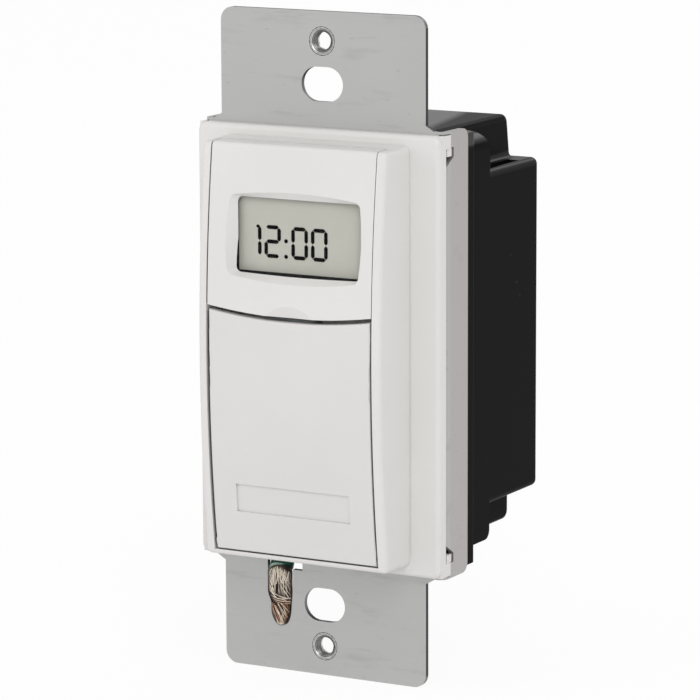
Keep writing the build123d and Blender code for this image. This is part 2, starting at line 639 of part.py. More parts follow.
def faceplate():
    """Crowned display bezel, the shelf under it, the button deck, the battery well and the board's bosses."""
    half = FACEPLATE_HALF
    top = OPENING_TOP - FACEPLATE_GAP
    bottom = FACEPLATE_GAP - OPENING_TOP
    arc = parting_line(0, half)
    lip = NOSE_HEIGHT / 2
    outline = make_face([arc, Line((half, PARTING_END), (half, lip)), Line((half, lip), (-half, lip)),
                         Line((-half, lip), (-half, PARTING_END))])
    column = prism(outline, (-NOSE_PROUD - CUT_OVERRUN, TOP_WALL_FRONT - FACEPLATE_GAP))
    form = nose_form(FACEPLATE_SUNK)
    plate = (column & form) - crown_body(FACEPLATE_SUNK + SKIN_THICKNESS)
    lip_back = TOP_WALL_FRONT - FACEPLATE_GAP
    plate += block((-half, half), (-NOSE_PROUD, lip_back), (top - SIDE_WALL, lip)) & form
    for cut in display_cut():
        plate -= cut
    plate -= thumb_scoop()
    shelf_top = SHELF_BOTTOM + SHELF_THICKNESS
    wall_front = crown_front(top, FACEPLATE_SUNK) + SKIN_THICKNESS / 2
    plate += block((-half, half), (wall_front - SKIN_THICKNESS, DECK_BACK),
                   (SHELF_BOTTOM, shelf_top)) & crown_body(FACEPLATE_SUNK)
    plate += block((-half, half), (wall_front, DECK_BACK), (top - SIDE_WALL, top))
    for side in mirrored(block((half - SIDE_WALL, half), (wall_front - SKIN_THICKNESS, DECK_BACK),
                               (SHELF_BOTTOM, top)) & crown_body(FACEPLATE_SUNK)):
        plate += side
    plate += block((-half, half), (DECK_FRONT, DECK_BACK), (bottom, shelf_top))
    ring = (rod_y((0, BATTERY_HEIGHT), WELL_INNER_RADIUS + WELL_WALL, (DECK_BACK, DISPLAY_BOARD_FRONT - SEAT_GAP))
            - rod_y((0, BATTERY_HEIGHT), WELL_INNER_RADIUS, (DECK_BACK - CUT_OVERRUN, DISPLAY_BOARD_BACK)))
    plate += ring
    for x, z in board_screw_places():
        front = DECK_FRONT if z < 0 else wall_front
        plate += rod_y((x, z), BOARD_BOSS_RADIUS, (front, DISPLAY_BOARD_FRONT))
        plate -= rod_y((x, z), BOARD_SCREW_SHANK_RADIUS + SHAFT_GAP / 2,
                       (DISPLAY_BOARD_FRONT - BOARD_SCREW_BITE - SEAT_GAP, DISPLAY_BOARD_BACK))
    for one in quartered(faceplate_lug(0)):
        plate += one
    for place, shape in button_shapes():
        plate -= prism(Pos(*place) * shape(RUNNING_GAP), (DECK_FRONT - CUT_OVERRUN, DECK_BACK + CUT_OVERRUN))
    deck_through = (DECK_FRONT - CUT_OVERRUN, DECK_BACK + SHAFT_GAP)
    plate -= rod_y((0, BATTERY_HEIGHT), CAP_RADIUS + RUNNING_GAP, deck_through)
    for index in range(LUG_COUNT):
        angle = index * 360 / LUG_COUNT + CAP_TURN
        plate -= lug(angle, LUG_ANGLE * LUG_ENTRY_SHARE, SEAT_GAP, deck_through)
    return plate


def lug(angle, spread, clearance, ys):
    """One bayonet lug or its entry: a sector of a ring about the battery's axis, at an angle from +Z."""
    outer = CAP_RADIUS + LUG_REACH + clearance
    ring = rod_y((0, 0), outer, ys) - rod_y((0, 0), CAP_RADIUS - SIDE_WALL, (min(ys) - CUT_OVERRUN,
                                                                           max(ys) + CUT_OVERRUN))
    rise = 2 * outer * math.cos(math.radians(spread / 2))
    run = 2 * outer * math.sin(math.radians(spread / 2))
    wedge = prism(make_face(Polyline((0, 0), (-run, rise), (run, rise), close=True)), ys)
    return Pos(0, 0, BATTERY_HEIGHT) * Rot(0, angle, 0) * (ring & wedge)


def round_shape(radius):
    """A round button's outline, grown by a margin."""
    return lambda margin: Circle(radius + margin)


def cushion_shape(width, height):
    """A rounded rectangular button's outline, grown by a margin."""
    return lambda margin: RectangleRounded(width + 2 * margin, height + 2 * margin, BUTTON_CORNER_RADIUS + margin)


def button_places():
    """Node name, place on the deck and outline of each button."""
    small = cushion_shape(SMALL_BUTTON_WIDTH, SMALL_BUTTON_HEIGHT)
    return {
        "on_off_button": (ON_OFF_PLACE, cushion_shape(ON_OFF_WIDTH, ON_OFF_HEIGHT)),
        "mode_button": ((-SMALL_BUTTON_PITCH, SMALL_BUTTON_ROW), small),
        "minus_button": ((0, SMALL_BUTTON_ROW), small),
        "plus_button": ((SMALL_BUTTON_PITCH, SMALL_BUTTON_ROW), small),
        "reset_button": (RESET_PLACE, round_shape(RESET_RADIUS)),
    }


def button_shapes():
    """Place and outline of every button."""
    return list(button_places().values())


def button(name):
    """A cap that stands through the deck, with a flange behind it that keeps it in."""
    place, shape = button_places()[name]
    sunk = name == "reset_button"
    front = DECK_FRONT + RESET_SUNK if sunk else DECK_FRONT - BUTTON_PROUD
    cap = prism(Pos(*place) * shape(0), (front, FLANGE_BACK))
    cap = fillet(cap.faces().sort_by(Axis.Y)[0].edges(), BUTTON_EDGE_RADIUS)
    return cap + prism(Pos(*place) * shape(BUTTON_FLANGE), (FLANGE_FRONT, FLANGE_BACK))


def keypad_mat():
    """Rubber sheet on the display board with one dome behind each button."""
    half = FACEPLATE_HALF - MAT_MARGIN
    low = BATTERY_HEIGHT + WELL_INNER_RADIUS + WELL_WALL + MAT_MARGIN
    mat = block((-half, half), (MAT_FRONT, DISPLAY_BOARD_FRONT), (low, MAT_TOP))
    for name, (place, shape) in button_places().items():
        radius = RESET_DOME_RADIUS if name == "reset_button" else DOME_RADIUS
        dome = Pos(place[0], (DOME_FRONT + MAT_FRONT) / 2, place[1]) * Rot(90, 0, 0)
        mat += dome * Cone(radius, radius - DOME_HEIGHT / 2, DOME_HEIGHT)
    return mat


def access_door():
    """Crowned leaf with a barrel along its lower edge and a sunken plaque."""
    half = DOOR_HALF
    arc = parting_line(DOOR_TOP_GAP, half)
    high = PARTING_END - DOOR_TOP_GAP
    outline = make_face([arc, Line((half, high), (half, DOOR_BOTTOM)),
                         Line((half, DOOR_BOTTOM), (-half, DOOR_BOTTOM)),
                         Line((-half, DOOR_BOTTOM), (-half, high))])
    leaf = prism(outline, (-NOSE_PROUD - CUT_OVERRUN, DECK_FRONT))
    leaf = (leaf & crown_body(FACEPLATE_SUNK)) - crown_body(FACEPLATE_SUNK + DOOR_THICKNESS)
    leaf = fillet(leaf.faces().sort_by(Axis.Y)[0].edges(), DOOR_EDGE_RADIUS)
    door = leaf + rod_x((PIN_Y, PIN_HEIGHT), KNUCKLE_RADIUS, (-half, half))
    door -= rod_x((PIN_Y, PIN_HEIGHT), PIN_RADIUS + SHAFT_GAP, (-half - CUT_OVERRUN, half + CUT_OVERRUN))
    plaque = prism(Pos(0, PLAQUE_CENTRE_HEIGHT) * Rectangle(PLAQUE_WIDTH, PLAQUE_HEIGHT),
                   (-NOSE_PROUD - CUT_OVERRUN, DECK_FRONT))
    return door - (plaque - crown_body(FACEPLATE_SUNK + PLAQUE_SUNK))


def door_hinge_pin():
    """Steel pin through the door's barrel into both side walls of the nose."""
    reach = OPENING_HALF + PIN_BITE - SEAT_GAP
    return rod_x((PIN_Y, PIN_HEIGHT), PIN_RADIUS, (-reach, reach))


def battery_cap():
    """Coin-slotted disc in the deck, with bayonet lugs behind it."""
    front = DECK_FRONT - CAP_PROUD
    lug_front = DECK_BACK + SEAT_GAP
    cap = rod_y((0, BATTERY_HEIGHT), CAP_RADIUS, (front, front + CAP_FLOOR))
    cap = fillet(cap.faces().sort_by(Axis.Y)[0].edges(), BUTTON_EDGE_RADIUS)
    skirt = (rod_y((0, BATTERY_HEIGHT), CAP_RADIUS, (front + CAP_FLOOR, lug_front + LUG_THICKNESS))
             - rod_y((0, BATTERY_HEIGHT), CELL_RADIUS + RUNNING_GAP, (front, DISPLAY_BOARD_FRONT)))
    cap += skirt
    for index in range(LUG_COUNT):
        cap += lug(index * 360 / LUG_COUNT, LUG_ANGLE, 0, (lug_front, lug_front + LUG_THICKNESS)) - rod_y(
            (0, BATTERY_HEIGHT), CELL_RADIUS + RUNNING_GAP, (front, DISPLAY_BOARD_FRONT))
    cap -= prism(Pos(0, BATTERY_HEIGHT) * SlotOverall(COIN_SLOT_LENGTH, COIN_SLOT_WIDTH),
                 (front - CUT_OVERRUN, front + COIN_SLOT_DEPTH / 2))
    return cap


def cell_front():
    """Front face of the coin cell, behind the cap's floor."""
    return DISPLAY_BOARD_FRONT - CONTACT_THICKNESS - CELL_THICKNESS


def battery_cell():
    """Coin cell with its smaller negative face towards the board."""
    front = cell_front()
    can = rod_y((0, BATTERY_HEIGHT), CELL_RADIUS, (front, front + CELL_THICKNESS - CONTACT_THICKNESS))
    can = fillet(can.faces().sort_by(Axis.Y)[0].edges(), BUTTON_EDGE_RADIUS)
    return can + rod_y((0, BATTERY_HEIGHT), CELL_RADIUS - SIDE_WALL, (front, front + CELL_THICKNESS))


def battery_contact_negative():
    """Disc and tail on the board under the cell's centre."""
    ys = (DISPLAY_BOARD_FRONT - CONTACT_THICKNESS, DISPLAY_BOARD_FRONT)
    disc = rod_y((0, BATTERY_HEIGHT), CONTACT_SPRING_RADIUS, ys)
    return disc + block((-CONTACT_ARM_WIDTH / 2, CONTACT_ARM_WIDTH / 2), ys,
                        (BATTERY_HEIGHT - CONTACT_SPRING_RADIUS * 2, BATTERY_HEIGHT))


def battery_contact_positive():
    """Clip on the board that bears on the rim of the cell, inside the well."""
    inner = CELL_RADIUS + SHAFT_GAP
    outer = WELL_INNER_RADIUS - RUNNING_GAP
    lug_back = DECK_BACK + SEAT_GAP + LUG_THICKNESS + RUNNING_GAP
    post = block((inner, inner + CONTACT_THICKNESS * 2), (lug_back, DISPLAY_BOARD_FRONT),
                 (BATTERY_HEIGHT - CONTACT_ARM_WIDTH / 2, BATTERY_HEIGHT + CONTACT_ARM_WIDTH / 2))
    foot = block((inner, outer), (DISPLAY_BOARD_FRONT - CONTACT_THICKNESS, DISPLAY_BOARD_FRONT),
                 (BATTERY_HEIGHT - CONTACT_ARM_WIDTH / 2, BATTERY_HEIGHT + CONTACT_ARM_WIDTH / 2))
    return post + foot


def centred_block(width, height, centre_height, ys):
    """A box centred on X = 0 about a height."""
    return block((-width / 2, width / 2), ys, (centre_height - height / 2, centre_height + height / 2))


def lcd_lens():
    """Clear window behind the bezel."""
    outline = RectangleRounded(LENS_WIDTH, LENS_HEIGHT, WINDOW_CORNER_RADIUS)
    return prism(Pos(WINDOW_SHIFT, DISPLAY_CENTRE_HEIGHT) * outline, (LENS_FRONT, LENS_BACK))


def lcd_glass():
    """Two bonded plates, the front one longer at the bottom for the contacts."""
    front = centred_block(GLASS_WIDTH, GLASS_HEIGHT, DISPLAY_CENTRE_HEIGHT, (GLASS_FRONT, GLASS_FRONT + GLASS_PLY))
    rear_height = GLASS_HEIGHT - GLASS_LEDGE
    return front + centred_block(GLASS_WIDTH, rear_height, DISPLAY_CENTRE_HEIGHT + GLASS_LEDGE / 2,
                                 (GLASS_FRONT + GLASS_PLY, GLASS_BACK))


def lcd_holder():
    """Frame on the display board round the display, with a shelf behind its plates."""
    width = GLASS_WIDTH + 2 * SEAT_GAP
    height = GLASS_HEIGHT + 2 * SEAT_GAP
    frame = centred_block(width + 2 * HOLDER_WALL, height + 2 * HOLDER_WALL, DISPLAY_CENTRE_HEIGHT,
                          (GLASS_FRONT, DISPLAY_BOARD_FRONT))
    frame -= centred_block(width, height, DISPLAY_CENTRE_HEIGHT, (GLASS_FRONT - CUT_OVERRUN, GLASS_BACK))
    frame -= centred_block(width - 2 * HOLDER_SHELF, height - 2 * HOLDER_SHELF, DISPLAY_CENTRE_HEIGHT,
                           (GLASS_BACK - CUT_OVERRUN, DISPLAY_BOARD_BACK))
    shelf_back = GLASS_BACK + HOLDER_SHELF_THICKNESS
    frame -= centred_block(width, height, DISPLAY_CENTRE_HEIGHT, (shelf_back, DISPLAY_BOARD_BACK))
    low = DISPLAY_CENTRE_HEIGHT - GLASS_HEIGHT / 2
    strip_half = STRIP_WIDTH / 2 + SEAT_GAP
    frame -= block((-strip_half, strip_half), (GLASS_FRONT + GLASS_PLY, DISPLAY_BOARD_BACK),
                   (low - SHAFT_GAP, low + GLASS_LEDGE))
    return frame


def contact_strip():
    """Elastomer bar from the display's ledge to the board."""
    low = DISPLAY_CENTRE_HEIGHT - GLASS_HEIGHT / 2 + (GLASS_LEDGE - STRIP_THICKNESS) / 2
    return block((-STRIP_WIDTH / 2, STRIP_WIDTH / 2), (GLASS_FRONT + GLASS_PLY, DISPLAY_BOARD_FRONT),
                 (low, low + STRIP_THICKNESS))


def display_board():
    """Board behind the faceplate, with holes for its four screws."""
    board = block((-DISPLAY_BOARD_HALF, DISPLAY_BOARD_HALF), (DISPLAY_BOARD_FRONT, DISPLAY_BOARD_BACK),
                  (-DISPLAY_BOARD_TOP, DISPLAY_BOARD_TOP))
    for place in board_screw_places():
        board -= rod_y(place, BOARD_SCREW_SHANK_RADIUS + SEAT_GAP,
                       (DISPLAY_BOARD_FRONT - CUT_OVERRUN, DISPLAY_BOARD_BACK + CUT_OVERRUN))
    return board


def cross_drive(place, ys, width):
    """Two crossed slots for a driver."""
    x, z = place
    return (block((x - width / 2, x + width / 2), ys, (z - DRIVE_WIDTH / 2, z + DRIVE_WIDTH / 2))
            + block((x - DRIVE_WIDTH / 2, x + DRIVE_WIDTH / 2), ys, (z - width / 2, z + width / 2)))


def board_screws():
    """Four small screws from the back of the display board into the faceplate."""
    screws = []
    for place in board_screw_places():
        head_back = DISPLAY_BOARD_BACK + BOARD_SCREW_HEAD_HEIGHT
        one = rod_y(place, BOARD_SCREW_HEAD_RADIUS, (DISPLAY_BOARD_BACK, head_back))
        one += rod_y(place, BOARD_SCREW_SHANK_RADIUS, (DISPLAY_BOARD_FRONT - BOARD_SCREW_BITE, DISPLAY_BOARD_BACK))
        one -= cross_drive(place, (head_back - DRIVE_DEPTH / 2, head_back + CUT_OVERRUN), BOARD_SCREW_HEAD_RADIUS)
        screws.append(one)
    return screws


def microcontroller():
    """Flat chip with legs on all four sides, on the back of the display board."""
    x, z = CHIP_PLACE
    half = CHIP_SIZE / 2
    body = block((x - half, x + half), (DISPLAY_BOARD_BACK + SEAT_GAP, DISPLAY_BOARD_BACK + CHIP_THICKNESS),
                 (z - half, z + half))
    reach = half + CHIP_LEG
    wide = half - CHIP_LEG
    legs = (DISPLAY_BOARD_BACK, DISPLAY_BOARD_BACK + CHIP_THICKNESS / 3)
    body += block((x - reach, x + reach), legs, (z - wide, z + wide))
    return body + block((x - wide, x + wide), legs, (z - reach, z + reach))


def crystal():
    """Small can lying on the back of the display board."""
    x, z = CRYSTAL_PLACE
    return rod_x((DISPLAY_BOARD_BACK + CRYSTAL_RADIUS, z), CRYSTAL_RADIUS,
                 (x - CRYSTAL_LENGTH / 2, x + CRYSTAL_LENGTH / 2))


def board_header():
    """Block on the main board and pins up to the display board."""
    z = HEADER_CENTRE_HEIGHT
    block_front = MAIN_BOARD_FRONT - HEADER_HEIGHT
    header = centred_block(HEADER_WIDTH, HEADER_HEIGHT, z, (block_front, MAIN_BOARD_FRONT))
    for index in range(HEADER_PIN_COUNT):
        x = (index - (HEADER_PIN_COUNT - 1) / 2) * HEADER_PITCH
        header += Pos(x, 0, 0) * centred_block(HEADER_PIN_WIDTH, HEADER_PIN_WIDTH, z,
                                               (DISPLAY_BOARD_BACK, block_front + SEAT_GAP))
    return header


def insulating_sheet():
    """Thin sheet behind the strap, with a window for the header and holes for the screws and the earth wire."""
    half = HOUSING_FRONT_HALF - SHEET_MARGIN
    high = HOUSING_TOP - SHEET_MARGIN
    sheet = block((-half, half), (STRAP_THICKNESS, SHEET_BACK), (NOTCH_TOP + SHEET_MARGIN, high))
    sheet -= centred_block(HEADER_WIDTH, HEADER_HEIGHT * 2, HEADER_CENTRE_HEIGHT, (0, SHEET_BACK + CUT_OVERRUN))
    for place in housing_screw_places():
        sheet -= rod_y(place, SCREW_SHANK_RADIUS + RUNNING_GAP, (0, SHEET_BACK + CUT_OVERRUN))
    return sheet


def rounded_box(box, rear_radius, side_radius):
    """A box with its upper and lower rear edges rounded, and then the edges of both side faces."""
    rear = box.edges().filter_by(Axis.X).group_by(Axis.Y)[-1]
    box = fillet(rear, rear_radius)
    for end in (0, -1):
        side = box.faces().sort_by(Axis.X)[end]
        box = fillet(side.edges(), side_radius)
    return box


def housing_tongue():
    """Narrow part behind the screw wells, whose rear face leans out towards the main block."""
    outline = [(SHEET_BACK, TONGUE_BOTTOM), (TONGUE_FOOT_DEPTH, TONGUE_BOTTOM),
               (TONGUE_DEPTH + TONGUE_LEAN, BLOCK_TOP), (TONGUE_DEPTH, TONGUE_TOP), (SHEET_BACK, TONGUE_TOP)]
    tongue = side_prism(outline, (-TONGUE_HALF, TONGUE_HALF))
    rear = [e for e in tongue.edges().filter_by(Axis.X)
            if e.center().Y > SHOULDER_DEPTH and not BLOCK_BOTTOM < e.center().Z <= BLOCK_TOP]
    tongue = fillet(rear, TONGUE_ROUND)
    for end in (0, -1):
        side = tongue.faces().sort_by(Axis.X)[end]
        tongue = fillet(side.edges(), TONGUE_EDGE_RADIUS)
    return tongue


def housing_body():
    """The stepped outside: front box, collar step, rounded shoulder, narrow tongue and main block."""
    collar_front = FLANGE_DEPTH + SEAT_GAP
    high = (-HOUSING_TOP, HOUSING_TOP)
    body = block((-HOUSING_FRONT_HALF, HOUSING_FRONT_HALF), (SHEET_BACK, COLLAR_STEP_DEPTH), high)
    collar = block((-COLLAR_HALF, COLLAR_HALF), (collar_front, COLLAR_STEP_DEPTH), high)
    body += fillet(collar.faces().sort_by(Axis.Y)[-1].edges(), COLLAR_EDGE_RADIUS)
    wide = (-SHOULDER_HALF, SHOULDER_HALF)
    shoulder = block(wide, (collar_front, SHOULDER_DEPTH), (SHOULDER_BOTTOM, SHOULDER_TOP))
    top_edges = shoulder.edges().filter_by(Axis.Y).group_by(Axis.Z)[-1]
    top_edges += shoulder.edges().filter_by(Axis.X).group_by(Axis.Y)[-1].sort_by(Axis.Z)[-1:]
    shoulder = fillet(top_edges, SHOULDER_ROUND)
    low_edges = shoulder.edges().filter_by(Axis.X).group_by(Axis.Z)[0].sort_by(Axis.Y)[-1:]
    body += fillet(low_edges, TONGUE_ROUND)
    main = block(wide, (COLLAR_STEP_DEPTH, BLOCK_DEPTH), (BLOCK_BOTTOM, BLOCK_TOP))
    upper = housing_tongue() + rounded_box(main, BLOCK_EDGE_RADIUS, BLOCK_EDGE_RADIUS)
    back = TONGUE_DEPTH + TONGUE_LEAN + SHAFT_GAP
    foot = [e for e in upper.edges()
            if abs(e.center().Z - BLOCK_TOP) < SHAFT_GAP and abs(e.center().X) < TONGUE_HALF + SHAFT_GAP
            and SHOULDER_DEPTH < e.center().Y < back]
    return body + fillet(foot, BLOCK_FOOT_FILLET)


def housing_hollow():
    """The inside, one wall in from each step, open at the front, and at the back for the rear plate."""
    front = SHEET_BACK - CUT_OVERRUN
    low = TONGUE_BOTTOM + HOUSING_WALL
    hollow = block((-HOUSING_INNER_HALF, HOUSING_INNER_HALF), (front, SHOULDER_DEPTH - HOUSING_WALL),
                   (low, SHOULDER_TOP - HOUSING_WALL))
    tongue_half = TONGUE_HALF - HOUSING_WALL
    hollow += block((-tongue_half, tongue_half), (front, TONGUE_DEPTH - HOUSING_WALL),
                    (low, TONGUE_TOP - HOUSING_WALL))
    inset = REAR_PLATE_LEDGE - SEAT_GAP
    block_half = REAR_PLATE_HALF - inset
    hollow += block((-block_half, block_half), (front, BLOCK_DEPTH + CUT_OVERRUN),
                    (REAR_PLATE_BOTTOM + inset, REAR_PLATE_TOP - inset))
    return hollow + block((-REAR_PLATE_HALF - SEAT_GAP, REAR_PLATE_HALF + SEAT_GAP),
                          (REAR_PLATE_FRONT, BLOCK_DEPTH + CUT_OVERRUN),
                          (REAR_PLATE_BOTTOM - SEAT_GAP, REAR_PLATE_TOP + SEAT_GAP))


def rear_housing():
    """Stepped shell with screw wells, board posts and a ribbed pocket on each upper side."""
    body = housing_body()
    shell = body - housing_hollow()
    bosses = Part() + [rod_y(place, BOSS_RADIUS, (SHEET_BACK, TONGUE_DEPTH - HOUSING_WALL / 2))
                       for place in housing_screw_places()]
    shell += bosses & body
    for height in POST_HEIGHTS:
        zs = (height - POST_SIZE / 2, height + POST_SIZE / 2)
        post = block((HOUSING_INNER_HALF - POST_SIZE, HOUSING_INNER_HALF + HOUSING_WALL / 2),
                     (MAIN_BOARD_BACK, SHOULDER_DEPTH - HOUSING_WALL / 2), zs)
        catch = block((MAIN_BOARD_HALF - BOARD_CATCH_REACH, HOUSING_INNER_HALF + HOUSING_WALL / 2),
                      (MAIN_BOARD_FRONT - BOARD_CATCH_DEPTH, MAIN_BOARD_FRONT), zs)
        for one in mirrored(post) + mirrored(catch):
            shell += one
    for place in housing_screw_places():
        shell -= rod_y(place, WELL_RADIUS, (WELL_SEAT, BLOCK_DEPTH + CUT_OVERRUN))
        shell -= rod_y(place, SCREW_SHANK_RADIUS + SEAT_GAP, (0, WELL_SEAT + CUT_OVERRUN))
    bush_low = ground_bush_top() - GROUND_BUSH_LENGTH
    shell -= wire_oval(GROUND_BUSH_WALL + 2 * SHAFT_GAP, (bush_low - CUT_OVERRUN, ground_bush_top() + CUT_OVERRUN))
    reach = INSULATION_WIDTH / 2 + GROUND_BUSH_WALL + GROUND_BUSH_LIP + RUNNING_GAP
    depth = INSULATION_THICKNESS / 2 + GROUND_BUSH_WALL + GROUND_BUSH_LIP + RUNNING_GAP
    shell -= block((WIRE_INNER_X - reach, WIRE_X + reach), (0, WIRE_BACK + depth),
                   (-HOUSING_TOP - CUT_OVERRUN, bush_low))
    for pocket in mirrored(side_pocket()):
        shell -= pocket
    return shell


def side_pocket():
    """Recess in the main block's top face beside the tongue, with thin ribs along it."""
    inner = TONGUE_HALF + BLOCK_FOOT_FILLET
    outer = SHOULDER_HALF - POCKET_RIM
    floor = BLOCK_TOP - POCKET_DEPTH
    start = SHOULDER_DEPTH + POCKET_RIB
    ys = (start, start + POCKET_LENGTH)
    pocket = block((inner, outer), ys, (floor, BLOCK_TOP + CUT_OVERRUN))
    pitch = (outer - inner) / (POCKET_RIB_COUNT + 1)
    for index in range(POCKET_RIB_COUNT):
        rib = inner + (index + 1) * pitch
        pocket -= block((rib - POCKET_RIB / 2, rib + POCKET_RIB / 2), ys, (floor, floor + POCKET_DEPTH / 2))
    return pocket


def rear_plate():
    """Flat plate that closes the main block at the back, with a hole for each supply lead."""
    plate = block((-REAR_PLATE_HALF, REAR_PLATE_HALF), (REAR_PLATE_FRONT, BLOCK_DEPTH),
                  (REAR_PLATE_BOTTOM, REAR_PLATE_TOP))
    for place in lead_places():
        plate -= rod_y(place, LEAD_HOLE_RADIUS, (REAR_PLATE_FRONT - CUT_OVERRUN, BLOCK_DEPTH + CUT_OVERRUN))
    return plate


def lead_places():
    """The supply leads' inlets in the rear wall, as (x, z)."""
    return [((index - (LEAD_COUNT - 1) / 2) * LEAD_PITCH, LEAD_HEIGHT) for index in range(LEAD_COUNT)]


def lead_bushes():
    """A flanged bush in each lead inlet."""
    bushes = []
    for place in lead_places():
        one = rod_y(place, LEAD_HOLE_RADIUS - SHAFT_GAP, (REAR_PLATE_FRONT - BUSH_LIP_THICKNESS, BLOCK_DEPTH))
        one += rod_y(place, LEAD_HOLE_RADIUS + BUSH_LIP, (BLOCK_DEPTH, BLOCK_DEPTH + BUSH_LIP_THICKNESS))
        one -= rod_y(place, BUSH_BORE, (REAR_PLATE_FRONT - CUT_OVERRUN, BLOCK_DEPTH + CUT_OVERRUN))
        bushes.append(one)
    return bushes


def housing_screws():
    """Four screws from the bottom of the wells into the strap."""
    screws = []
    for place in housing_screw_places():
        head_back = WELL_SEAT + SCREW_HEAD_HEIGHT
        one = rod_y(place, SCREW_HEAD_RADIUS, (WELL_SEAT, head_back))
        one = fillet(one.faces().sort_by(Axis.Y)[-1].edges(), SCREW_HEAD_HEIGHT / 3)
        one += rod_y(place, SCREW_SHANK_RADIUS, (SCREW_END_INSET, WELL_SEAT + SEAT_GAP))
        one -= cross_drive(place, (head_back - DRIVE_DEPTH, head_back + CUT_OVERRUN),
                           SCREW_HEAD_RADIUS * DRIVE_SHARE)
        screws.append(one)
    return screws


def main_board():
    """Power board inside the housing, cut round the screw bosses."""
    board = block((-MAIN_BOARD_HALF, MAIN_BOARD_HALF), (MAIN_BOARD_FRONT, MAIN_BOARD_BACK),
                  (MAIN_BOARD_BOTTOM, MAIN_BOARD_TOP))
    for place in housing_screw_places():
        board -= rod_y(place, BOSS_RADIUS + RUNNING_GAP,
                       (MAIN_BOARD_FRONT - CUT_OVERRUN, MAIN_BOARD_BACK + CUT_OVERRUN))
    return board


def relay_base_back():
    """Rear face of the relay's base, which its works stand on."""
    return MAIN_BOARD_BACK + RELAY_BASE_THICKNESS


def relay_block(xs, ys, zs):
    """A box placed from the relay's own centre and base."""
    x, z = RELAY_PLACE
    back = relay_base_back()
    return block((x + xs[0], x + xs[1]), (back + ys[0], back + ys[1]), (z + zs[0], z + zs[1]))


def relay_rod(offset, radius, ys):
    """A cylinder along Y placed from the relay's own centre and base."""
    x, z = RELAY_PLACE
    back = relay_base_back()
    return rod_y((x + offset, z), radius, (back + ys[0], back + ys[1]))


def relay_base():
    """Flat base on the main board."""
    half, tall = RELAY_WIDTH / 2, RELAY_HEIGHT / 2
    return relay_block((-half, half), (-RELAY_BASE_THICKNESS, 0), (-tall, tall))


def pole_height():
    """Height of the core's pole face over the relay's base."""
    return YOKE_THICKNESS + BOBBIN_LENGTH + SEAT_GAP


def yoke_place():
    """Middle of the yoke's upright, from the relay's centre."""
    return CORE_OFFSET + BOBBIN_FLANGE_RADIUS + RUNNING_GAP + YOKE_THICKNESS / 2


def relay_yoke():
    """Foot, core and upright in one iron piece."""
    upright = yoke_place()
    tall = YOKE_WIDTH / 2
    foot = relay_block((CORE_OFFSET - CORE_RADIUS, upright + YOKE_THICKNESS / 2), (0, YOKE_THICKNESS),
                       (-tall, tall))
    foot += relay_rod(CORE_OFFSET, CORE_RADIUS, (0, pole_height()))
    top = pole_height() + ARMATURE_AIR_GAP - ARMATURE_KNUCKLE - SHAFT_GAP
    return foot + relay_block((upright - YOKE_THICKNESS / 2, upright + YOKE_THICKNESS / 2), (0, top),
                              (-tall, tall))


def relay_bobbin():
    """Spool round the core."""
    tube = CORE_RADIUS + SHAFT_GAP
    front, back = YOKE_THICKNESS, YOKE_THICKNESS + BOBBIN_LENGTH
    spool = relay_rod(CORE_OFFSET, tube + BOBBIN_WALL, (front, back))
    spool += relay_rod(CORE_OFFSET, BOBBIN_FLANGE_RADIUS, (front, front + BOBBIN_FLANGE))
    spool += relay_rod(CORE_OFFSET, BOBBIN_FLANGE_RADIUS, (back - BOBBIN_FLANGE, back))
    return spool - relay_rod(CORE_OFFSET, tube, (0, back + CUT_OVERRUN))


def relay_coil():
    """Winding between the spool's flanges."""
    front = YOKE_THICKNESS + BOBBIN_FLANGE
    back = YOKE_THICKNESS + BOBBIN_LENGTH - BOBBIN_FLANGE
    inner = CORE_RADIUS + SHAFT_GAP + BOBBIN_WALL
    bore = relay_rod(CORE_OFFSET, inner, (0, back + CUT_OVERRUN))
    return relay_rod(CORE_OFFSET, COIL_RADIUS, (front, back)) - bore


def armature_front():
    """Underside of the armature over the relay's base, with the relay at rest."""
    return pole_height() + ARMATURE_AIR_GAP


def relay_armature():
    """Iron plate that tips on the yoke's upright."""
    pivot = yoke_place()
    front = armature_front()
    tall = ARMATURE_WIDTH / 2
    plate = relay_block((pivot - ARMATURE_LENGTH + YOKE_THICKNESS, pivot + YOKE_THICKNESS),
                        (front, front + ARMATURE_THICKNESS), (-tall, tall))
    x, z = RELAY_PLACE
    return plate + rod_z((x + pivot, relay_base_back() + front), ARMATURE_KNUCKLE, (z - tall, z + tall))


def contact_place():
    """Middle of the contacts, from the relay's centre."""
    return yoke_place() - ARMATURE_LENGTH + YOKE_THICKNESS - CONTACT_SPRING_REACH + CONTACT_RADIUS


def relay_contact_spring():
    """Leaf on the armature with the moving contact at its end."""
    pivot = yoke_place()
    back = armature_front() + ARMATURE_THICKNESS
    reach = pivot - ARMATURE_LENGTH + YOKE_THICKNESS - CONTACT_SPRING_REACH
    tall = ARMATURE_WIDTH / 4
    leaf = relay_block((reach, pivot), (back, back + CONTACT_SPRING_THICKNESS), (-tall, tall))
    return leaf + relay_rod(contact_place(), CONTACT_RADIUS, (back - CONTACT_HEIGHT, back + SHAFT_GAP))


def relay_fixed_contact():
    """Post on the base with the fixed contact on top."""
    top = armature_front() + ARMATURE_THICKNESS - CONTACT_HEIGHT - CONTACT_GAP
    x = contact_place()
    wide = CONTACT_POST_WIDTH / 2
    post = relay_block((x - wide, x + wide), (0, top - CONTACT_HEIGHT), (-CONTACT_RADIUS, CONTACT_RADIUS))
    return post + relay_rod(x, wide, (top - CONTACT_HEIGHT - SHAFT_GAP, top))


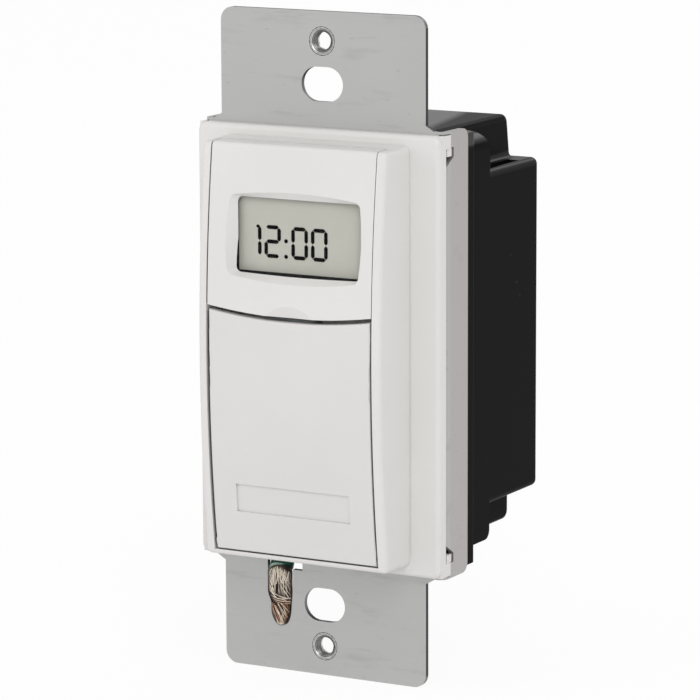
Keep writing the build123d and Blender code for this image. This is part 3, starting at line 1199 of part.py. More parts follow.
def relay_cover():
    """Box over the relay's works, closed at the back."""
    half = RELAY_WIDTH / 2 + SHAFT_GAP
    tall = RELAY_HEIGHT / 2 + SHAFT_GAP
    wall = RELAY_COVER_WALL
    front = -RELAY_BASE_THICKNESS + SEAT_GAP
    cover = relay_block((-half - wall, half + wall), (front, RELAY_COVER_DEPTH), (-tall - wall, tall + wall))
    return cover - relay_block((-half, half), (front - CUT_OVERRUN, RELAY_COVER_DEPTH - wall), (-tall, tall))


def film_capacitor():
    """Boxed capacitor on the main board."""
    x, z = MAIN_BOARD_HALF * CAPACITOR_PLACE_SHARE, CAPACITOR_ROW
    wide, deep, tall = CAPACITOR_SIZE
    return block((x - wide / 2, x + wide / 2), (MAIN_BOARD_BACK, MAIN_BOARD_BACK + deep),
                 (z - tall / 2, z + tall / 2))


def electrolytic_capacitor():
    """Sleeved can with a groove near its foot."""
    back = MAIN_BOARD_BACK + ELECTROLYTIC_HEIGHT
    place = (MAIN_BOARD_HALF * ELECTROLYTIC_PLACE_SHARE, ELECTROLYTIC_ROW)
    can = rod_y(place, ELECTROLYTIC_RADIUS, (MAIN_BOARD_BACK, back))
    can = fillet(can.faces().sort_by(Axis.Y)[-1].edges(), CHOKE_INSET)
    groove = MAIN_BOARD_BACK + CHOKE_FLANGE * 2
    ring = rod_y(place, ELECTROLYTIC_RADIUS + CUT_OVERRUN, (groove, groove + CHOKE_INSET))
    return can - (ring - rod_y(place, ELECTROLYTIC_RADIUS - CHOKE_INSET / 2, (groove - CUT_OVERRUN, back)))


def varistor():
    """Disc that stands on its two legs."""
    x, z = MAIN_BOARD_HALF * VARISTOR_PLACE_SHARE, VARISTOR_ROW
    y = MAIN_BOARD_BACK + PART_LEG_LENGTH + VARISTOR_RADIUS
    disc = rod_x((y, z), VARISTOR_RADIUS, (x - VARISTOR_THICKNESS / 2, x + VARISTOR_THICKNESS / 2))
    disc = fillet(disc.edges().filter_by(GeomType.CIRCLE), CHOKE_FLANGE)
    for sign in (-1, 1):
        disc += rod_y((x, z + sign * VARISTOR_RADIUS / 2), PART_LEG_RADIUS, (MAIN_BOARD_BACK, y))
    return disc


def fuse():
    """Glass fuse with end caps on two clips."""
    x, z = FUSE_PLACE
    y = MAIN_BOARD_BACK + PART_LEG_LENGTH + FUSE_RADIUS
    half = FUSE_LENGTH / 2
    body = rod_x((y, z), FUSE_RADIUS - SEAT_GAP, (x - half, x + half))
    for sign in (-1, 1):
        edge = x + sign * half
        body += rod_x((y, z), FUSE_RADIUS, (edge, edge - sign * FUSE_CAP_LENGTH))
        body += rod_y((edge - sign * FUSE_CAP_LENGTH / 2, z), PART_LEG_RADIUS, (MAIN_BOARD_BACK, y))
    return body


def bridge_rectifier():
    """Small moulded block on the main board."""
    x, z = BRIDGE_PLACE
    wide, deep, tall = BRIDGE_SIZE
    return block((x - wide / 2, x + wide / 2), (MAIN_BOARD_BACK, MAIN_BOARD_BACK + deep),
                 (z - tall / 2, z + tall / 2))


def choke():
    """Wound drum between two ferrite flanges."""
    back = MAIN_BOARD_BACK + CHOKE_HEIGHT
    place = (MAIN_BOARD_HALF * CHOKE_PLACE_SHARE, CHOKE_ROW)
    drum = rod_y(place, CHOKE_RADIUS - CHOKE_INSET, (MAIN_BOARD_BACK, back))
    drum += rod_y(place, CHOKE_RADIUS, (MAIN_BOARD_BACK, MAIN_BOARD_BACK + CHOKE_FLANGE))
    return drum + rod_y(place, CHOKE_RADIUS, (back - CHOKE_FLANGE, back))


def power_resistor():
    """Resistor on two legs."""
    x, z = RESISTOR_PLACE
    y = MAIN_BOARD_BACK + PART_LEG_LENGTH + RESISTOR_RADIUS
    half = RESISTOR_LENGTH / 2
    body = rod_x((y, z), RESISTOR_RADIUS, (x - half, x + half))
    body = fillet(body.edges().filter_by(GeomType.CIRCLE), RESISTOR_RADIUS / 2)
    for sign in (-1, 1):
        body += rod_y((x + sign * half * LEG_SPREAD_SHARE, z), PART_LEG_RADIUS, (MAIN_BOARD_BACK, y))
    return body


def lead_terminals():
    """A tab on the main board for each supply lead."""
    tabs = []
    half = TERMINAL_PITCH * TERMINAL_WIDTH_SHARE / 2
    for index in range(LEAD_COUNT):
        x = (index - (LEAD_COUNT - 1) / 2) * TERMINAL_PITCH
        tabs.append(block((x - half, x + half),
                          (MAIN_BOARD_BACK, MAIN_BOARD_BACK + TERMINAL_HEIGHT),
                          (TERMINAL_ROW - TERMINAL_THICKNESS / 2, TERMINAL_ROW + TERMINAL_THICKNESS / 2)))
    return tabs


def wire_oval(margin, zs):
    """An upright oval bar on the earth wire's inner line, grown by a margin."""
    plane = Plane(origin=(WIRE_INNER_X, WIRE_BACK, min(zs)), x_dir=(1, 0, 0), z_dir=(0, 0, 1))
    return extrude(plane * Ellipse(INSULATION_WIDTH / 2 + margin, INSULATION_THICKNESS / 2 + margin),
                   amount=max(zs) - min(zs))


def ground_path():
    """The earth wire's line: down through the housing's lower wall, then slanting into the strap's slot."""
    start_y = STRAP_THICKNESS / 2
    corner = INSULATION_CUT + (WIRE_BACK - start_y) / math.tan(math.radians(WIRE_SLANT))
    return FilletPolyline((WIRE_INNER_X, WIRE_BACK, WIRE_INNER_END), (WIRE_INNER_X, WIRE_BACK, corner),
                          (WIRE_X, start_y, INSULATION_CUT), radius=WIRE_BEND)


def ground_insulation():
    """Green sleeve of the earth wire, pressed oval."""
    path = ground_path()
    start = Plane(origin=path @ 0, x_dir=(1, 0, 0), z_dir=path % 0)
    return sweep(start * Ellipse(INSULATION_WIDTH / 2, INSULATION_THICKNESS / 2), path=path)


def strand_outline(margin):
    """Front outline of the bare strands, narrower below, grown sideways and downwards by a margin."""
    drop = STRAND_TOP - STRAND_TIP
    left = [(x * STRAND_HALF - margin, STRAND_TOP - z * drop) for x, _, z in STRAND_EDGE_SHARES]
    right = [(x * STRAND_HALF + margin, STRAND_TOP - z * drop) for _, x, z in STRAND_EDGE_SHARES]
    tip = ((left[-1][0] + right[-1][0]) / 2, STRAND_TIP - margin)
    return Pos(WIRE_X, 0) * make_face([Line(left[0], right[0]), Spline(*right), Spline(*left),
                                       ThreePointArc(right[-1], tip, left[-1])])


def ground_strands():
    """Bare flattened strands that fill the strap's slot, down to a rounded tip."""
    strands = prism(strand_outline(0), (-STRAND_PROUD, STRAND_THICKNESS - STRAND_PROUD))
    return strands - ground_insulation()


def ground_bush_top():
    """Inner face of the housing's lower wall, flush with the bush."""
    return TONGUE_BOTTOM + HOUSING_WALL


def ground_bush():
    """Oval bush round the earth wire in the housing's lower wall, with a lip outside."""
    top = ground_bush_top()
    low = top - GROUND_BUSH_LENGTH
    bush = wire_oval(GROUND_BUSH_WALL + SHAFT_GAP, (low, top))
    bush += wire_oval(GROUND_BUSH_WALL + GROUND_BUSH_LIP, (low - GROUND_BUSH_LIP_THICKNESS, low))
    return bush - wire_oval(SHAFT_GAP, (low - CUT_OVERRUN, top + CUT_OVERRUN))


def ground_terminal():
    """Clamp on the front of the main board that takes the earth wire's inner end."""
    wide = GROUND_TERMINAL_WIDTH / 2
    front = WIRE_BACK - INSULATION_THICKNESS / 2 - RUNNING_GAP
    return block((WIRE_INNER_X - wide, WIRE_INNER_X + wide), (front, MAIN_BOARD_FRONT),
                 (WIRE_INNER_END, WIRE_INNER_END + GROUND_TERMINAL_HEIGHT))


BUTTON_NAMES = list(button_places())

MAKERS = {
    "mounting_strap": mounting_strap,
    "front_cover": front_cover,
    "faceplate": faceplate,
    "access_door": access_door,
    "door_hinge_pin": door_hinge_pin,
    "keypad_mat": keypad_mat,
    "battery_cap": battery_cap,
    "battery_cell": battery_cell,
    "battery_contact_positive": battery_contact_positive,
    "battery_contact_negative": battery_contact_negative,
    "lcd_lens": lcd_lens,
    "lcd_glass": lcd_glass,
    "lcd_holder": lcd_holder,
    "contact_strip": contact_strip,
    "display_board": display_board,
    "board_screws": board_screws,
    "microcontroller": microcontroller,
    "crystal": crystal,
    "board_header": board_header,
    "insulating_sheet": insulating_sheet,
    "rear_housing": rear_housing,
    "rear_plate": rear_plate,
    "lead_bushes": lead_bushes,
    "housing_screws": housing_screws,
    "main_board": main_board,
    "relay_base": relay_base,
    "relay_yoke": relay_yoke,
    "relay_bobbin": relay_bobbin,
    "relay_coil": relay_coil,
    "relay_armature": relay_armature,
    "relay_contact_spring": relay_contact_spring,
    "relay_fixed_contact": relay_fixed_contact,
    "relay_cover": relay_cover,
    "film_capacitor": film_capacitor,
    "electrolytic_capacitor": electrolytic_capacitor,
    "varistor": varistor,
    "fuse": fuse,
    "bridge_rectifier": bridge_rectifier,
    "choke": choke,
    "power_resistor": power_resistor,
    "lead_terminals": lead_terminals,
    "ground_insulation": ground_insulation,
    "ground_strands": ground_strands,
    "ground_bush": ground_bush,
    "ground_terminal": ground_terminal,
}


def all_parts():
    """Every node's shape by name."""
    parts = {name: make() for name, make in MAKERS.items()}
    for name in BUTTON_NAMES:
        parts[name] = button(name)
    return parts


def main():
    """Write one STEP file per node."""
    os.makedirs("parts", exist_ok=True)
    for name, shape in all_parts().items():
        solids = shape if isinstance(shape, list) else shape.solids()
        solids = [solid for item in solids for solid in item.solids()]
        export_step(Compound(label=name, children=solids), os.path.join("parts", name + ".step"))


if __name__ == "__main__":
    main()
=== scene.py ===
"""Looks of an in-wall timer light switch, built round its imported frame."""

import json
import math
import random

import bmesh
import bpy
from bpy.props import FloatProperty, FloatVectorProperty, IntProperty, PointerProperty
from mathutils import Matrix, Vector


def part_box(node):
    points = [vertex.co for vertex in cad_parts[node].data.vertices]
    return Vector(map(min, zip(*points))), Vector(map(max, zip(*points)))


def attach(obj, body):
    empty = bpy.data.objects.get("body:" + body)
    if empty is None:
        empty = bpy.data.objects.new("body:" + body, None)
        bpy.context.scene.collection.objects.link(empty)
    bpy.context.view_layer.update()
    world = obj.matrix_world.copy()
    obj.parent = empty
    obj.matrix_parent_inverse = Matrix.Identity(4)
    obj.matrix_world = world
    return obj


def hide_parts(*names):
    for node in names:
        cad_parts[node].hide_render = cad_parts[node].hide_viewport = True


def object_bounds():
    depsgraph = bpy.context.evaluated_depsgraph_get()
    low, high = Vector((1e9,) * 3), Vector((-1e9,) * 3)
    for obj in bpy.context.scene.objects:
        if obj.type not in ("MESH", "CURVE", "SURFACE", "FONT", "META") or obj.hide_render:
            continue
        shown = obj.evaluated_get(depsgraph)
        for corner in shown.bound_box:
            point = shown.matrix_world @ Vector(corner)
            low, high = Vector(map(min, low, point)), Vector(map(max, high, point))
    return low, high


bl_info = {
    "name": "Timer light switch",
    "version": (1, 0, 0),
    "blender": (4, 5, 0),
    "location": "View3D > Sidebar > Timer",
    "description": "Builds the finishes, small pieces and stage of an in-wall timer light switch",
    "category": "Object",
}

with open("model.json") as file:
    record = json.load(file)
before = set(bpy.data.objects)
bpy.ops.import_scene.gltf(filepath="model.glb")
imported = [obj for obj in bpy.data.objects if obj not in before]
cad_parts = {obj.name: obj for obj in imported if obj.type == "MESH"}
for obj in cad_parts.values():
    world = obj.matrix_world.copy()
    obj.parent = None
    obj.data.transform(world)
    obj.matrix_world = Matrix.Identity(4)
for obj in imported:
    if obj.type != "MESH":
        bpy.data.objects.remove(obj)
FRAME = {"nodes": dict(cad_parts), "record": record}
CAD_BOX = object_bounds()
ROOT = "timer_body"
MM = 0.001

# Places on the solids that the finishes and small pieces share
HOLE_HEIGHT = 48.42 * MM
THREAD_OUTER = 1.42 * MM
COIL_TURN = 0.27 * MM
WIRE_CUT_HEIGHT = -36.5 * MM
WIRE_CUT_DEPTH = 0.45 * MM
WIRE_CUT_SLANT = math.radians(42.0)

# Earth strands, in mm: height, then the left and right edges from the wire's middle
STRAND_EDGES = ((-35.6, -1.45, 1.45), (-36.8, -2.05, 2.05), (-38.7, -2.12, 2.12), (-40.9, -2.08, 2.05),
                (-42.1, -1.6, 1.98), (-43.5, -1.58, 1.88), (-44.9, -1.18, 1.52), (-45.4, -0.95, 1.3),
                (-45.8, -0.55, 0.9))

# Loose strands: share of the width and height in mm where each begins, then where it ends
STRAYS = ((-1.0, -38.2, -0.3, -40.9), (-1.0, -39.2, -0.35, -41.3), (-1.0, -40.0, -0.05, -41.5),
          (0.05, -36.5, 0.95, -39.9), (-0.05, -37.3, 0.98, -40.8), (0.35, -36.7, 1.0, -39.0),
          (-0.15, -38.2, 0.9, -41.2), (0.2, -36.3, 0.7, -38.9), (0.6, -36.5, 0.25, -38.7),
          (-0.5, -36.4, -0.8, -38.9), (-0.3, -36.2, -0.42, -39.3), (-0.1, -36.1, -0.2, -39.0),
          (-0.65, -36.6, -0.95, -38.0), (0.9, -36.9, 0.6, -38.6), (-0.75, -37.6, -0.5, -40.2),
          (-0.2, -42.2, 0.75, -44.2), (-0.5, -42.6, 0.4, -45.1), (0.15, -42.1, 0.95, -43.6),
          (-0.85, -43.2, -0.35, -45.3), (-0.7, -42.4, 0.15, -44.4), (0.3, -44.0, 0.6, -45.3),
          (0.35, -42.3, 0.9, -44.4), (-0.1, -43.6, 0.35, -45.4), (-0.6, -44.3, -0.2, -45.5),
          (-0.95, -42.3, -0.55, -44.0), (0.0, -42.8, 0.6, -44.6))

# Strands laid across the bundle, in mm: height at the left and at the right, sag and depth under the front
WRAPS = ((-40.1, -41.3, 0.2, 0.0), (-40.9, -41.2, 0.35, 0.02), (-41.35, -41.75, 0.25, 0.06),
         (-40.5, -41.9, 0.1, 0.12), (-41.7, -42.1, 0.2, 0.14), (-40.0, -40.7, 0.3, 0.2))

# Left edge in mm and lit segments of each digit, and the corners (column, row) that a segment joins
DIGITS = ((-9.13, "bc"), (-5.65, "abged"), (-0.83, "abcdef"), (2.66, "abcdef"))
SEGMENTS = {"a": ((0, 2), (1, 2)), "b": ((1, 2), (1, 1)), "c": ((1, 1), (1, 0)), "d": ((1, 0), (0, 0)),
            "e": ((0, 0), (0, 1)), "f": ((0, 1), (0, 2)), "g": ((0, 1), (1, 1))}

# Lamps: place in metres, power in watts and side in metres
LAMPS = {"key": ((0.9, -1.3, 1.25), 11.5, 0.9), "fill": ((-1.3, -1.1, 0.5), 4.2, 1.1),
         "back": ((0.3, 1.3, 1.1), 4.0, 0.9)}

# Coat colours of the resistor: where each begins along it, from 0 to 1
COAT = (0.42, 0.36, 0.24)
RESISTOR_BANDS = ((0.0, COAT), (0.18, (0.30, 0.03, 0.02)), (0.27, COAT), (0.40, (0.05, 0.02, 0.01)),
                  (0.49, COAT), (0.62, (0.50, 0.30, 0.02)), (0.71, COAT))


def colour_setting(name, description, default):
    """A colour that a user may change."""
    return FloatVectorProperty(name=name, description=description, default=default, subtype="COLOR", size=3,
                               min=0, max=1)


def length_setting(name, description, default):
    """A length that a user may change."""
    return FloatProperty(name=name, description=description, default=default, unit="LENGTH", min=0,
                         precision=5)


class TimerColours(bpy.types.PropertyGroup):
    """Colours of the timer's finishes."""

    cover: colour_setting("Cover", "White of the cover and faceplate", (0.76, 0.745, 0.73))
    door: colour_setting("Door", "White of the access door", (0.72, 0.705, 0.695))
    housing: colour_setting("Housing", "Black of the rear housing", (0.0045, 0.0045, 0.0045))
    strap: colour_setting("Strap", "Grey of the plated steel strap", (0.495, 0.495, 0.49))
    display: colour_setting("Display", "Grey-green of the unlit display", (0.50, 0.50, 0.445))
    digit: colour_setting("Digit", "Black of the display's segments", (0.003, 0.003, 0.003))
    key: colour_setting("Key", "Grey of the keys and the battery cap", (0.42, 0.43, 0.44))
    board: colour_setting("Board", "Green of the circuit boards", (0.012, 0.13, 0.05))
    insulation: colour_setting("Insulation", "Green of the earth wire", (0.010, 0.062, 0.042))
    tinned: colour_setting("Tinned", "Tinned upper part of the earth strands", (0.72, 0.64, 0.54))
    copper: colour_setting("Copper", "Bare lower part of the earth strands", (0.42, 0.25, 0.17))
    floor: colour_setting("Floor", "Pale floor", (0.93, 0.93, 0.93))


class TimerSizes(bpy.types.PropertyGroup):
    """Sizes of the pieces that the solids leave to the scene."""

    digit_top: length_setting("Digit top", "Height of the digits' upper edge over the origin", 20.35 * MM)
    digit_height: length_setting("Digit height", "Height of a digit", 5.15 * MM)
    digit_width: length_setting("Digit width", "Width of a digit", 2.95 * MM)
    segment_width: length_setting("Segment width", "Width of one segment of a digit", 0.62 * MM)
    thread_radius: length_setting("Thread radius", "Radius at the crest of the strap's threads", 1.36 * MM)
    thread_pitch: length_setting("Thread pitch", "Rise of one turn of the strap's threads", 0.5 * MM)
    strand_radius: length_setting("Strand radius", "Radius of one earth strand", 0.11 * MM)
    strand_count: IntProperty(name="Strands", description="Strands across the front of the earth wire",
                              default=19, min=6, max=40)
    coil_wire: length_setting("Coil wire", "Width of one visible turn of the relay's winding", COIL_TURN)
    choke_wire: length_setting("Choke wire", "Width of one turn of the choke's winding", 0.6 * MM)
    mark_height: length_setting("Mark height", "Height of the raised marks on the keys", 1.7 * MM)


class Value:
    """A shader number whose arithmetic adds Math nodes."""

    def __init__(self, tree, socket):
        self.tree = tree
        self.socket = socket

    def math(self, operation, *others):
        """A Math node of this number and others."""
        node = self.tree.nodes.new("ShaderNodeMath")
        node.operation = operation
        for socket, item in zip(node.inputs, (self, *others)):
            if isinstance(item, Value):
                self.tree.links.new(item.socket, socket)
            else:
                socket.default_value = item
        return Value(self.tree, node.outputs[0])

    def __add__(self, other):
        return self.math("ADD", other)

    def __sub__(self, other):
        return self.math("SUBTRACT", other)

    def __rsub__(self, other):
        return self * -1 + other

    def __mul__(self, other):
        return self.math("MULTIPLY", other)

    def __truediv__(self, other):
        return self.math("DIVIDE", other)

    def __abs__(self):
        return self.math("ABSOLUTE")

    def over(self, low, high):
        """0 below low, 1 above high and an even rise between."""
        return ((self - low) / (high - low)).math("MAXIMUM", 0).math("MINIMUM", 1)

    def greater(self, other):
        """The greater of two numbers."""
        return self.math("MAXIMUM", other)


class Finish:
    """A material with one Principled shader and the pattern nodes behind it."""

    def __init__(self, name, **shader):
        self.material = bpy.data.materials.new(name + "_finish")
        self.material.use_nodes = True
        self.tree = self.material.node_tree
        self.shader = self.tree.nodes["Principled BSDF"]
        for key, value in shader.items():
            self.shader.inputs[key.replace("_", " ").title().replace("Ior", "IOR")].default_value = value
        self.coordinates = self.node("ShaderNodeTexCoord").outputs["Object"]

    def node(self, kind, settings=None, **sockets):
        """Any node: its settings first, then the values or links of its sockets."""
        node = self.tree.nodes.new(kind)
        for key, value in (settings or {}).items():
            setattr(node, key, value)
        for key, value in sockets.items():
            name = key.replace("_", " ").lower()
            socket = next(item for item in node.inputs if item.enabled
                          and name in (item.identifier.replace("_", " ").lower(), item.name.lower()))
            if isinstance(value, Value):
                value = value.socket
            if isinstance(value, bpy.types.NodeSocket):
                self.tree.links.new(value, socket)
            else:
                socket.default_value = value
        return node

    def value(self, socket):
        """A socket as a number that takes arithmetic."""
        return Value(self.tree, socket)

    def axes(self):
        """The three object coordinates as numbers."""
        split = self.node("ShaderNodeSeparateXYZ", vector=self.coordinates)
        return [self.value(socket) for socket in split.outputs]

    def noise(self, scale, detail=2.0, stretch=(1, 1, 1), roughness=0.5):
        """Fractal noise, at a scale per metre, stretched along the axes."""
        mapping = self.node("ShaderNodeMapping", vector=self.coordinates, scale=stretch)
        node = self.node("ShaderNodeTexNoise", vector=mapping.outputs[0], scale=scale, detail=detail,
                         roughness=roughness)
        return self.value(node.outputs[0])

    def cells(self, scale, stretch=(1, 1, 1)):
        """Distance to the nearest of scattered points."""
        mapping = self.node("ShaderNodeMapping", vector=self.coordinates, scale=stretch)
        node = self.node("ShaderNodeTexVoronoi", vector=mapping.outputs[0], scale=scale)
        return self.value(node.outputs["Distance"])

    def mix(self, factor, low, high):
        """A colour between two colours."""
        node = self.node("ShaderNodeMix", {"data_type": "RGBA"}, factor_float=factor, a_color=opaque(low),
                         b_color=opaque(high))
        return node.outputs["Result"] if node.outputs["Result"].enabled else node.outputs[2]

    def colour(self, socket):
        """Feed a colour to the shader's base."""
        self.tree.links.new(socket, self.shader.inputs["Base Color"])

    def vary(self, name, value):
        """Feed a number to one socket of the shader."""
        self.tree.links.new(value.socket, self.shader.inputs[name])

    def crevice(self, reach):
        """1 in the open, falling towards 0 in gaps narrower than a reach."""
        node = self.node("ShaderNodeAmbientOcclusion", {"samples": 8}, distance=reach)
        return self.value(node.outputs["AO"])

    def bump(self, height, distance):
        """Raise the surface by a number, to a distance at most."""
        node = self.node("ShaderNodeBump", height=height, distance=distance, strength=1.0)
        self.tree.links.new(node.outputs[0], self.shader.inputs["Normal"])


def opaque(colour):
    """A colour with full alpha, or a socket as it is."""
    if isinstance(colour, bpy.types.NodeSocket):
        return colour
    return (*tuple(colour)[:3], 1.0)


def shade(colour, share):
    """A colour made lighter or darker by a share."""
    return tuple(min(1.0, channel * share) for channel in tuple(colour)[:3])


def moulded(name, colour, roughness=0.42, grain=0.012, grain_scale=2600.0, cloud=0.03):
    """Moulded plastic: a fine spark-eroded grain, faint clouding and uneven gloss."""
    finish = Finish(name, roughness=roughness)
    drift = finish.noise(45.0, 3.0)
    finish.colour(finish.mix(drift.over(0.3, 0.7), shade(colour, 1 - cloud), shade(colour, 1 + cloud)))
    fine = finish.noise(grain_scale, 2.0)
    finish.vary("Roughness", finish.noise(160.0, 3.0) * 0.10 + (roughness - 0.05))
    finish.bump(fine, grain * MM)
    return finish


def white_plastic(name, colour, roughness):
    """Moulded white plastic with painted shade in the narrow gaps between the pieces."""
    finish = Finish(name, roughness=roughness)
    drift = finish.noise(45.0, 3.0)
    tone = finish.mix(drift.over(0.3, 0.7), shade(colour, 0.975), shade(colour, 1.02))
    # Painted shade: the base colour darkens in narrow gaps, to near black at mid-height, and only to paler
    # grey towards the top, at the foot and on the plaque.
    in_the_open = finish.crevice(0.8 * MM).over(0.12, 0.62)
    x, _, z = finish.axes()
    plaque_height = z.over(-26.4 * MM, -26.0 * MM) * (1 - z.over(-20.4 * MM, -20.0 * MM))
    plaque = plaque_height * (1 - abs(x).over(10.9 * MM, 11.3 * MM))
    above_foot = z.over(-31.6 * MM, -30.8 * MM)
    towards_top = z.over(6.0 * MM, 28.0 * MM)
    gap_shade_share = above_foot * (1 - towards_top * 0.6) * (1 - plaque)
    gap = finish.mix(gap_shade_share, (0.42, 0.41, 0.40), (0.05, 0.048, 0.046))
    finish.colour(finish.mix(in_the_open, gap, tone))
    finish.vary("Roughness", finish.noise(160.0, 3.0) * 0.10 + (roughness - 0.05))
    finish.bump(finish.noise(2600.0, 2.0), 0.012 * MM)
    return finish


def housing_black(colours):
    """Black plastic, dull on its sides, glossy on its upper faces and edges, with a few specks of dust."""
    finish = Finish("black_housing", roughness=0.42, specular_ior_level=0.02, coat_roughness=0.16)
    x, y, z = finish.axes()
    in_shade = (x + y * 0.2).over(15.0 * MM, 17.0 * MM)
    tongue_top = z.over(33.5 * MM, 34.3 * MM) * (1 - in_shade * 0.85)
    ledge = z.over(26.3 * MM, 27.0 * MM) * (1 - z.over(28.2 * MM, 28.8 * MM)) * y.over(16.2 * MM, 16.6 * MM)
    beside_tongue = abs(x).over(17.2 * MM, 17.5 * MM) * (1 - y.over(16.4 * MM, 16.8 * MM))
    dome = z.over(32.0 * MM, 32.5 * MM) * beside_tongue
    drift = finish.noise(90.0, 4.0, (1, 1, 0.25))
    speck = 1 - finish.cells(260.0).over(0.035, 0.07)
    seen = finish.noise(35.0, 2.0).over(0.5, 0.62)
    tone = finish.mix(drift.over(0.3, 0.7), shade(colours.housing, 0.85), shade(colours.housing, 1.2))
    finish.colour(finish.mix(speck * seen * 0.25, tone, (0.16, 0.16, 0.155)))
    finish.vary("Coat Weight", (tongue_top * 0.55).greater(ledge * 0.3).greater(dome * 0.5))
    finish.vary("Roughness", drift * 0.12 + 0.36)
    finish.bump(finish.noise(1900.0, 2.0), 0.005 * MM)
    return finish


def plated(name, colour, roughness=0.36, along=(1, 1, 1)):
    """Plated metal: rolling streaks, cloudy dullness and scattered hairline scratches."""
    finish = Finish(name, metallic=1.0, roughness=roughness)
    streak = finish.noise(900.0, 4.0, along, 0.6)
    cloud = finish.noise(60.0, 4.0)
    hair = finish.noise(420.0, 2.0, (1.0, 1.0, 0.05)).over(0.66, 0.72)
    tone = cloud * 0.6 + streak * 0.4
    finish.colour(finish.mix(tone.over(0.35, 0.65), shade(colour, 0.93), shade(colour, 1.05)))
    finish.vary("Roughness", cloud * 0.16 + streak * 0.10 + (roughness - 0.13) - hair * 0.05)
    finish.bump(streak + hair * 0.5, 0.006 * MM)
    return finish


def strap_steel(colours):
    """Plated sheet with soft rolling marks, handling scratches and burnished rings round the tapped holes,
    with painted shade on the side flanges and on the tabs' cut edges.
    """
    finish = Finish("strap_steel", metallic=0.72, roughness=0.42)
    x, y, z = finish.axes()
    cloud = finish.noise(60.0, 5.0, (0.6, 1, 1.2))
    streak = finish.noise(1500.0, 3.0, (0.06, 1, 1), 0.6)
    scuff = finish.noise(330.0, 4.0, (0.22, 1.0, 1.3), 0.6).over(0.56, 0.70)
    nick = finish.cells(420.0, (0.5, 1, 1.4)).over(0.03, 0.10)
    from_hole = abs(z) - HOLE_HEIGHT
    away = (x * x + from_hole * from_hole).math("SQRT")
    ring = (1 - away.over(2.25 * MM, 2.5 * MM)) * away.over(1.2 * MM, 1.4 * MM)
    turned = (away * 26000.0).math("SINE") * 0.25 + finish.noise(2600.0, 2.0) * 0.8
    ring_edge = (1 - abs(away - 2.2 * MM).over(0.08 * MM, 0.2 * MM)) * turned.over(0.2, 0.45)
    tone = finish.mix((cloud * 0.7 + streak * 0.3).over(0.3, 0.7), shade(colours.strap, 0.95),
                      shade(colours.strap, 1.045))
    tone = finish.mix(scuff * 0.6, tone, shade(colours.strap, 0.78))
    # Painted shade: the side flanges are tinted darker and warmer than the strap's front.
    flange_shade = y.over(1.6 * MM, 2.6 * MM)
    tone = finish.mix(flange_shade * 0.7, tone, (0.47, 0.44, 0.43))
    tone = finish.mix((1 - nick) * 0.5, tone, shade(colours.strap, 0.7))
    tone = finish.mix(ring * 0.9, tone, finish.mix(turned.over(0.3, 0.6), shade(colours.strap, 1.3),
                                                   shade(colours.strap, 0.5)))
    tone = finish.mix(ring_edge * 0.85, tone, shade(colours.strap, 0.12))
    # Painted shade: the sheet's cut edges on the tabs are darkened to near black.
    outline = (abs(x) - 18.19 * MM).greater(abs(z) - 53.09 * MM).over(-0.01 * MM, 0.0)
    on_tab = (abs(z) - 35.3 * MM).over(0.0, 0.1 * MM)
    in_thickness = y.over(0.06 * MM, 0.12 * MM) * (1 - y.over(1.15 * MM, 1.25 * MM))
    cut_edge_shade = (outline * 0.35 + 0.6) * on_tab * in_thickness
    finish.colour(finish.mix(cut_edge_shade, tone, (0.012, 0.012, 0.013)))
    finish.vary("Roughness", cloud * 0.14 + streak * 0.12 + 0.34 - ring * 0.14)
    finish.vary("Metallic", ring * 0.25 + 0.72)
    finish.bump(streak * 0.5 + turned * ring * 1.6 + nick * 0.5, 0.008 * MM)
    return finish


def display_glass(colours):
    """Reflective display: a soft grey-green field, a faint cell weave, painted shade at the field's edges and
    a black band painted as the shadow under the bezel.
    """
    finish = Finish("display", roughness=0.45, specular_ior_level=0.2)
    x, _, z = finish.axes()
    past_sides = abs(x - 0.85 * MM) - 11.05 * MM
    past_ends = abs(z - 18.95 * MM) - 5.95 * MM
    past_field = past_sides.greater(past_ends)
    # Painted shadow: a black band just outside the field stands for the shadow in the gap under the bezel.
    bezel_shadow = past_field.over(-0.02 * MM, 0.06 * MM)
    # Painted shade: the field darkens towards its edges, where the bezel's shadow falls.
    display_edge_shade = past_field.over(-1.5 * MM, 0.0)
    field = finish.noise(120.0, 2.0)
    tone = finish.mix(field.over(0.3, 0.7), shade(colours.display, 0.97), shade(colours.display, 1.03))
    tone = finish.mix(display_edge_shade * 0.22, tone, shade(colours.display, 0.7))
    finish.colour(finish.mix(bezel_shadow, tone, (0.01, 0.012, 0.012)))
    finish.bump(finish.noise(5200.0, 1.0), 0.003 * MM)
    return finish


def clear_window():
    """Clear lens with the faintest haze and a soft gloss."""
    finish = Finish("clear_lens", roughness=0.12, coat_weight=0.0, specular_ior_level=0.06)
    haze = finish.noise(300.0, 3.0)
    finish.colour(finish.mix(haze, (0.82, 0.84, 0.80), (0.9, 0.9, 0.87)))
    finish.vary("Alpha", haze * 0.003 + 0.002)
    finish.vary("Roughness", haze * 0.04 + 0.05)
    finish.material.surface_render_method = "BLENDED"
    return finish


def circuit_board(colours):
    """Green lacquer over routed copper tracks, with vias and tinned pads."""
    finish = Finish("board_green", roughness=0.28, coat_weight=0.4)
    x, _, z = finish.axes()
    brick = finish.node("ShaderNodeTexBrick", {"offset": 0.35, "squash": 1.6}, scale=330.0, mortar_size=0.028,
                        mortar_smooth=0.2, vector=finish.node("ShaderNodeCombineXYZ", x=x, y=z).outputs[0])
    track = finish.value(brick.outputs["Fac"])
    via = 1 - finish.cells(360.0, (1, 0.001, 1)).over(0.10, 0.14)
    tone = finish.mix(track * 0.75, colours.board, shade(colours.board, 2.1))
    finish.colour(finish.mix(via, tone, (0.5, 0.48, 0.42)))
    finish.vary("Metallic", via * 0.8)
    finish.bump(track + via, 0.02 * MM)
    return finish


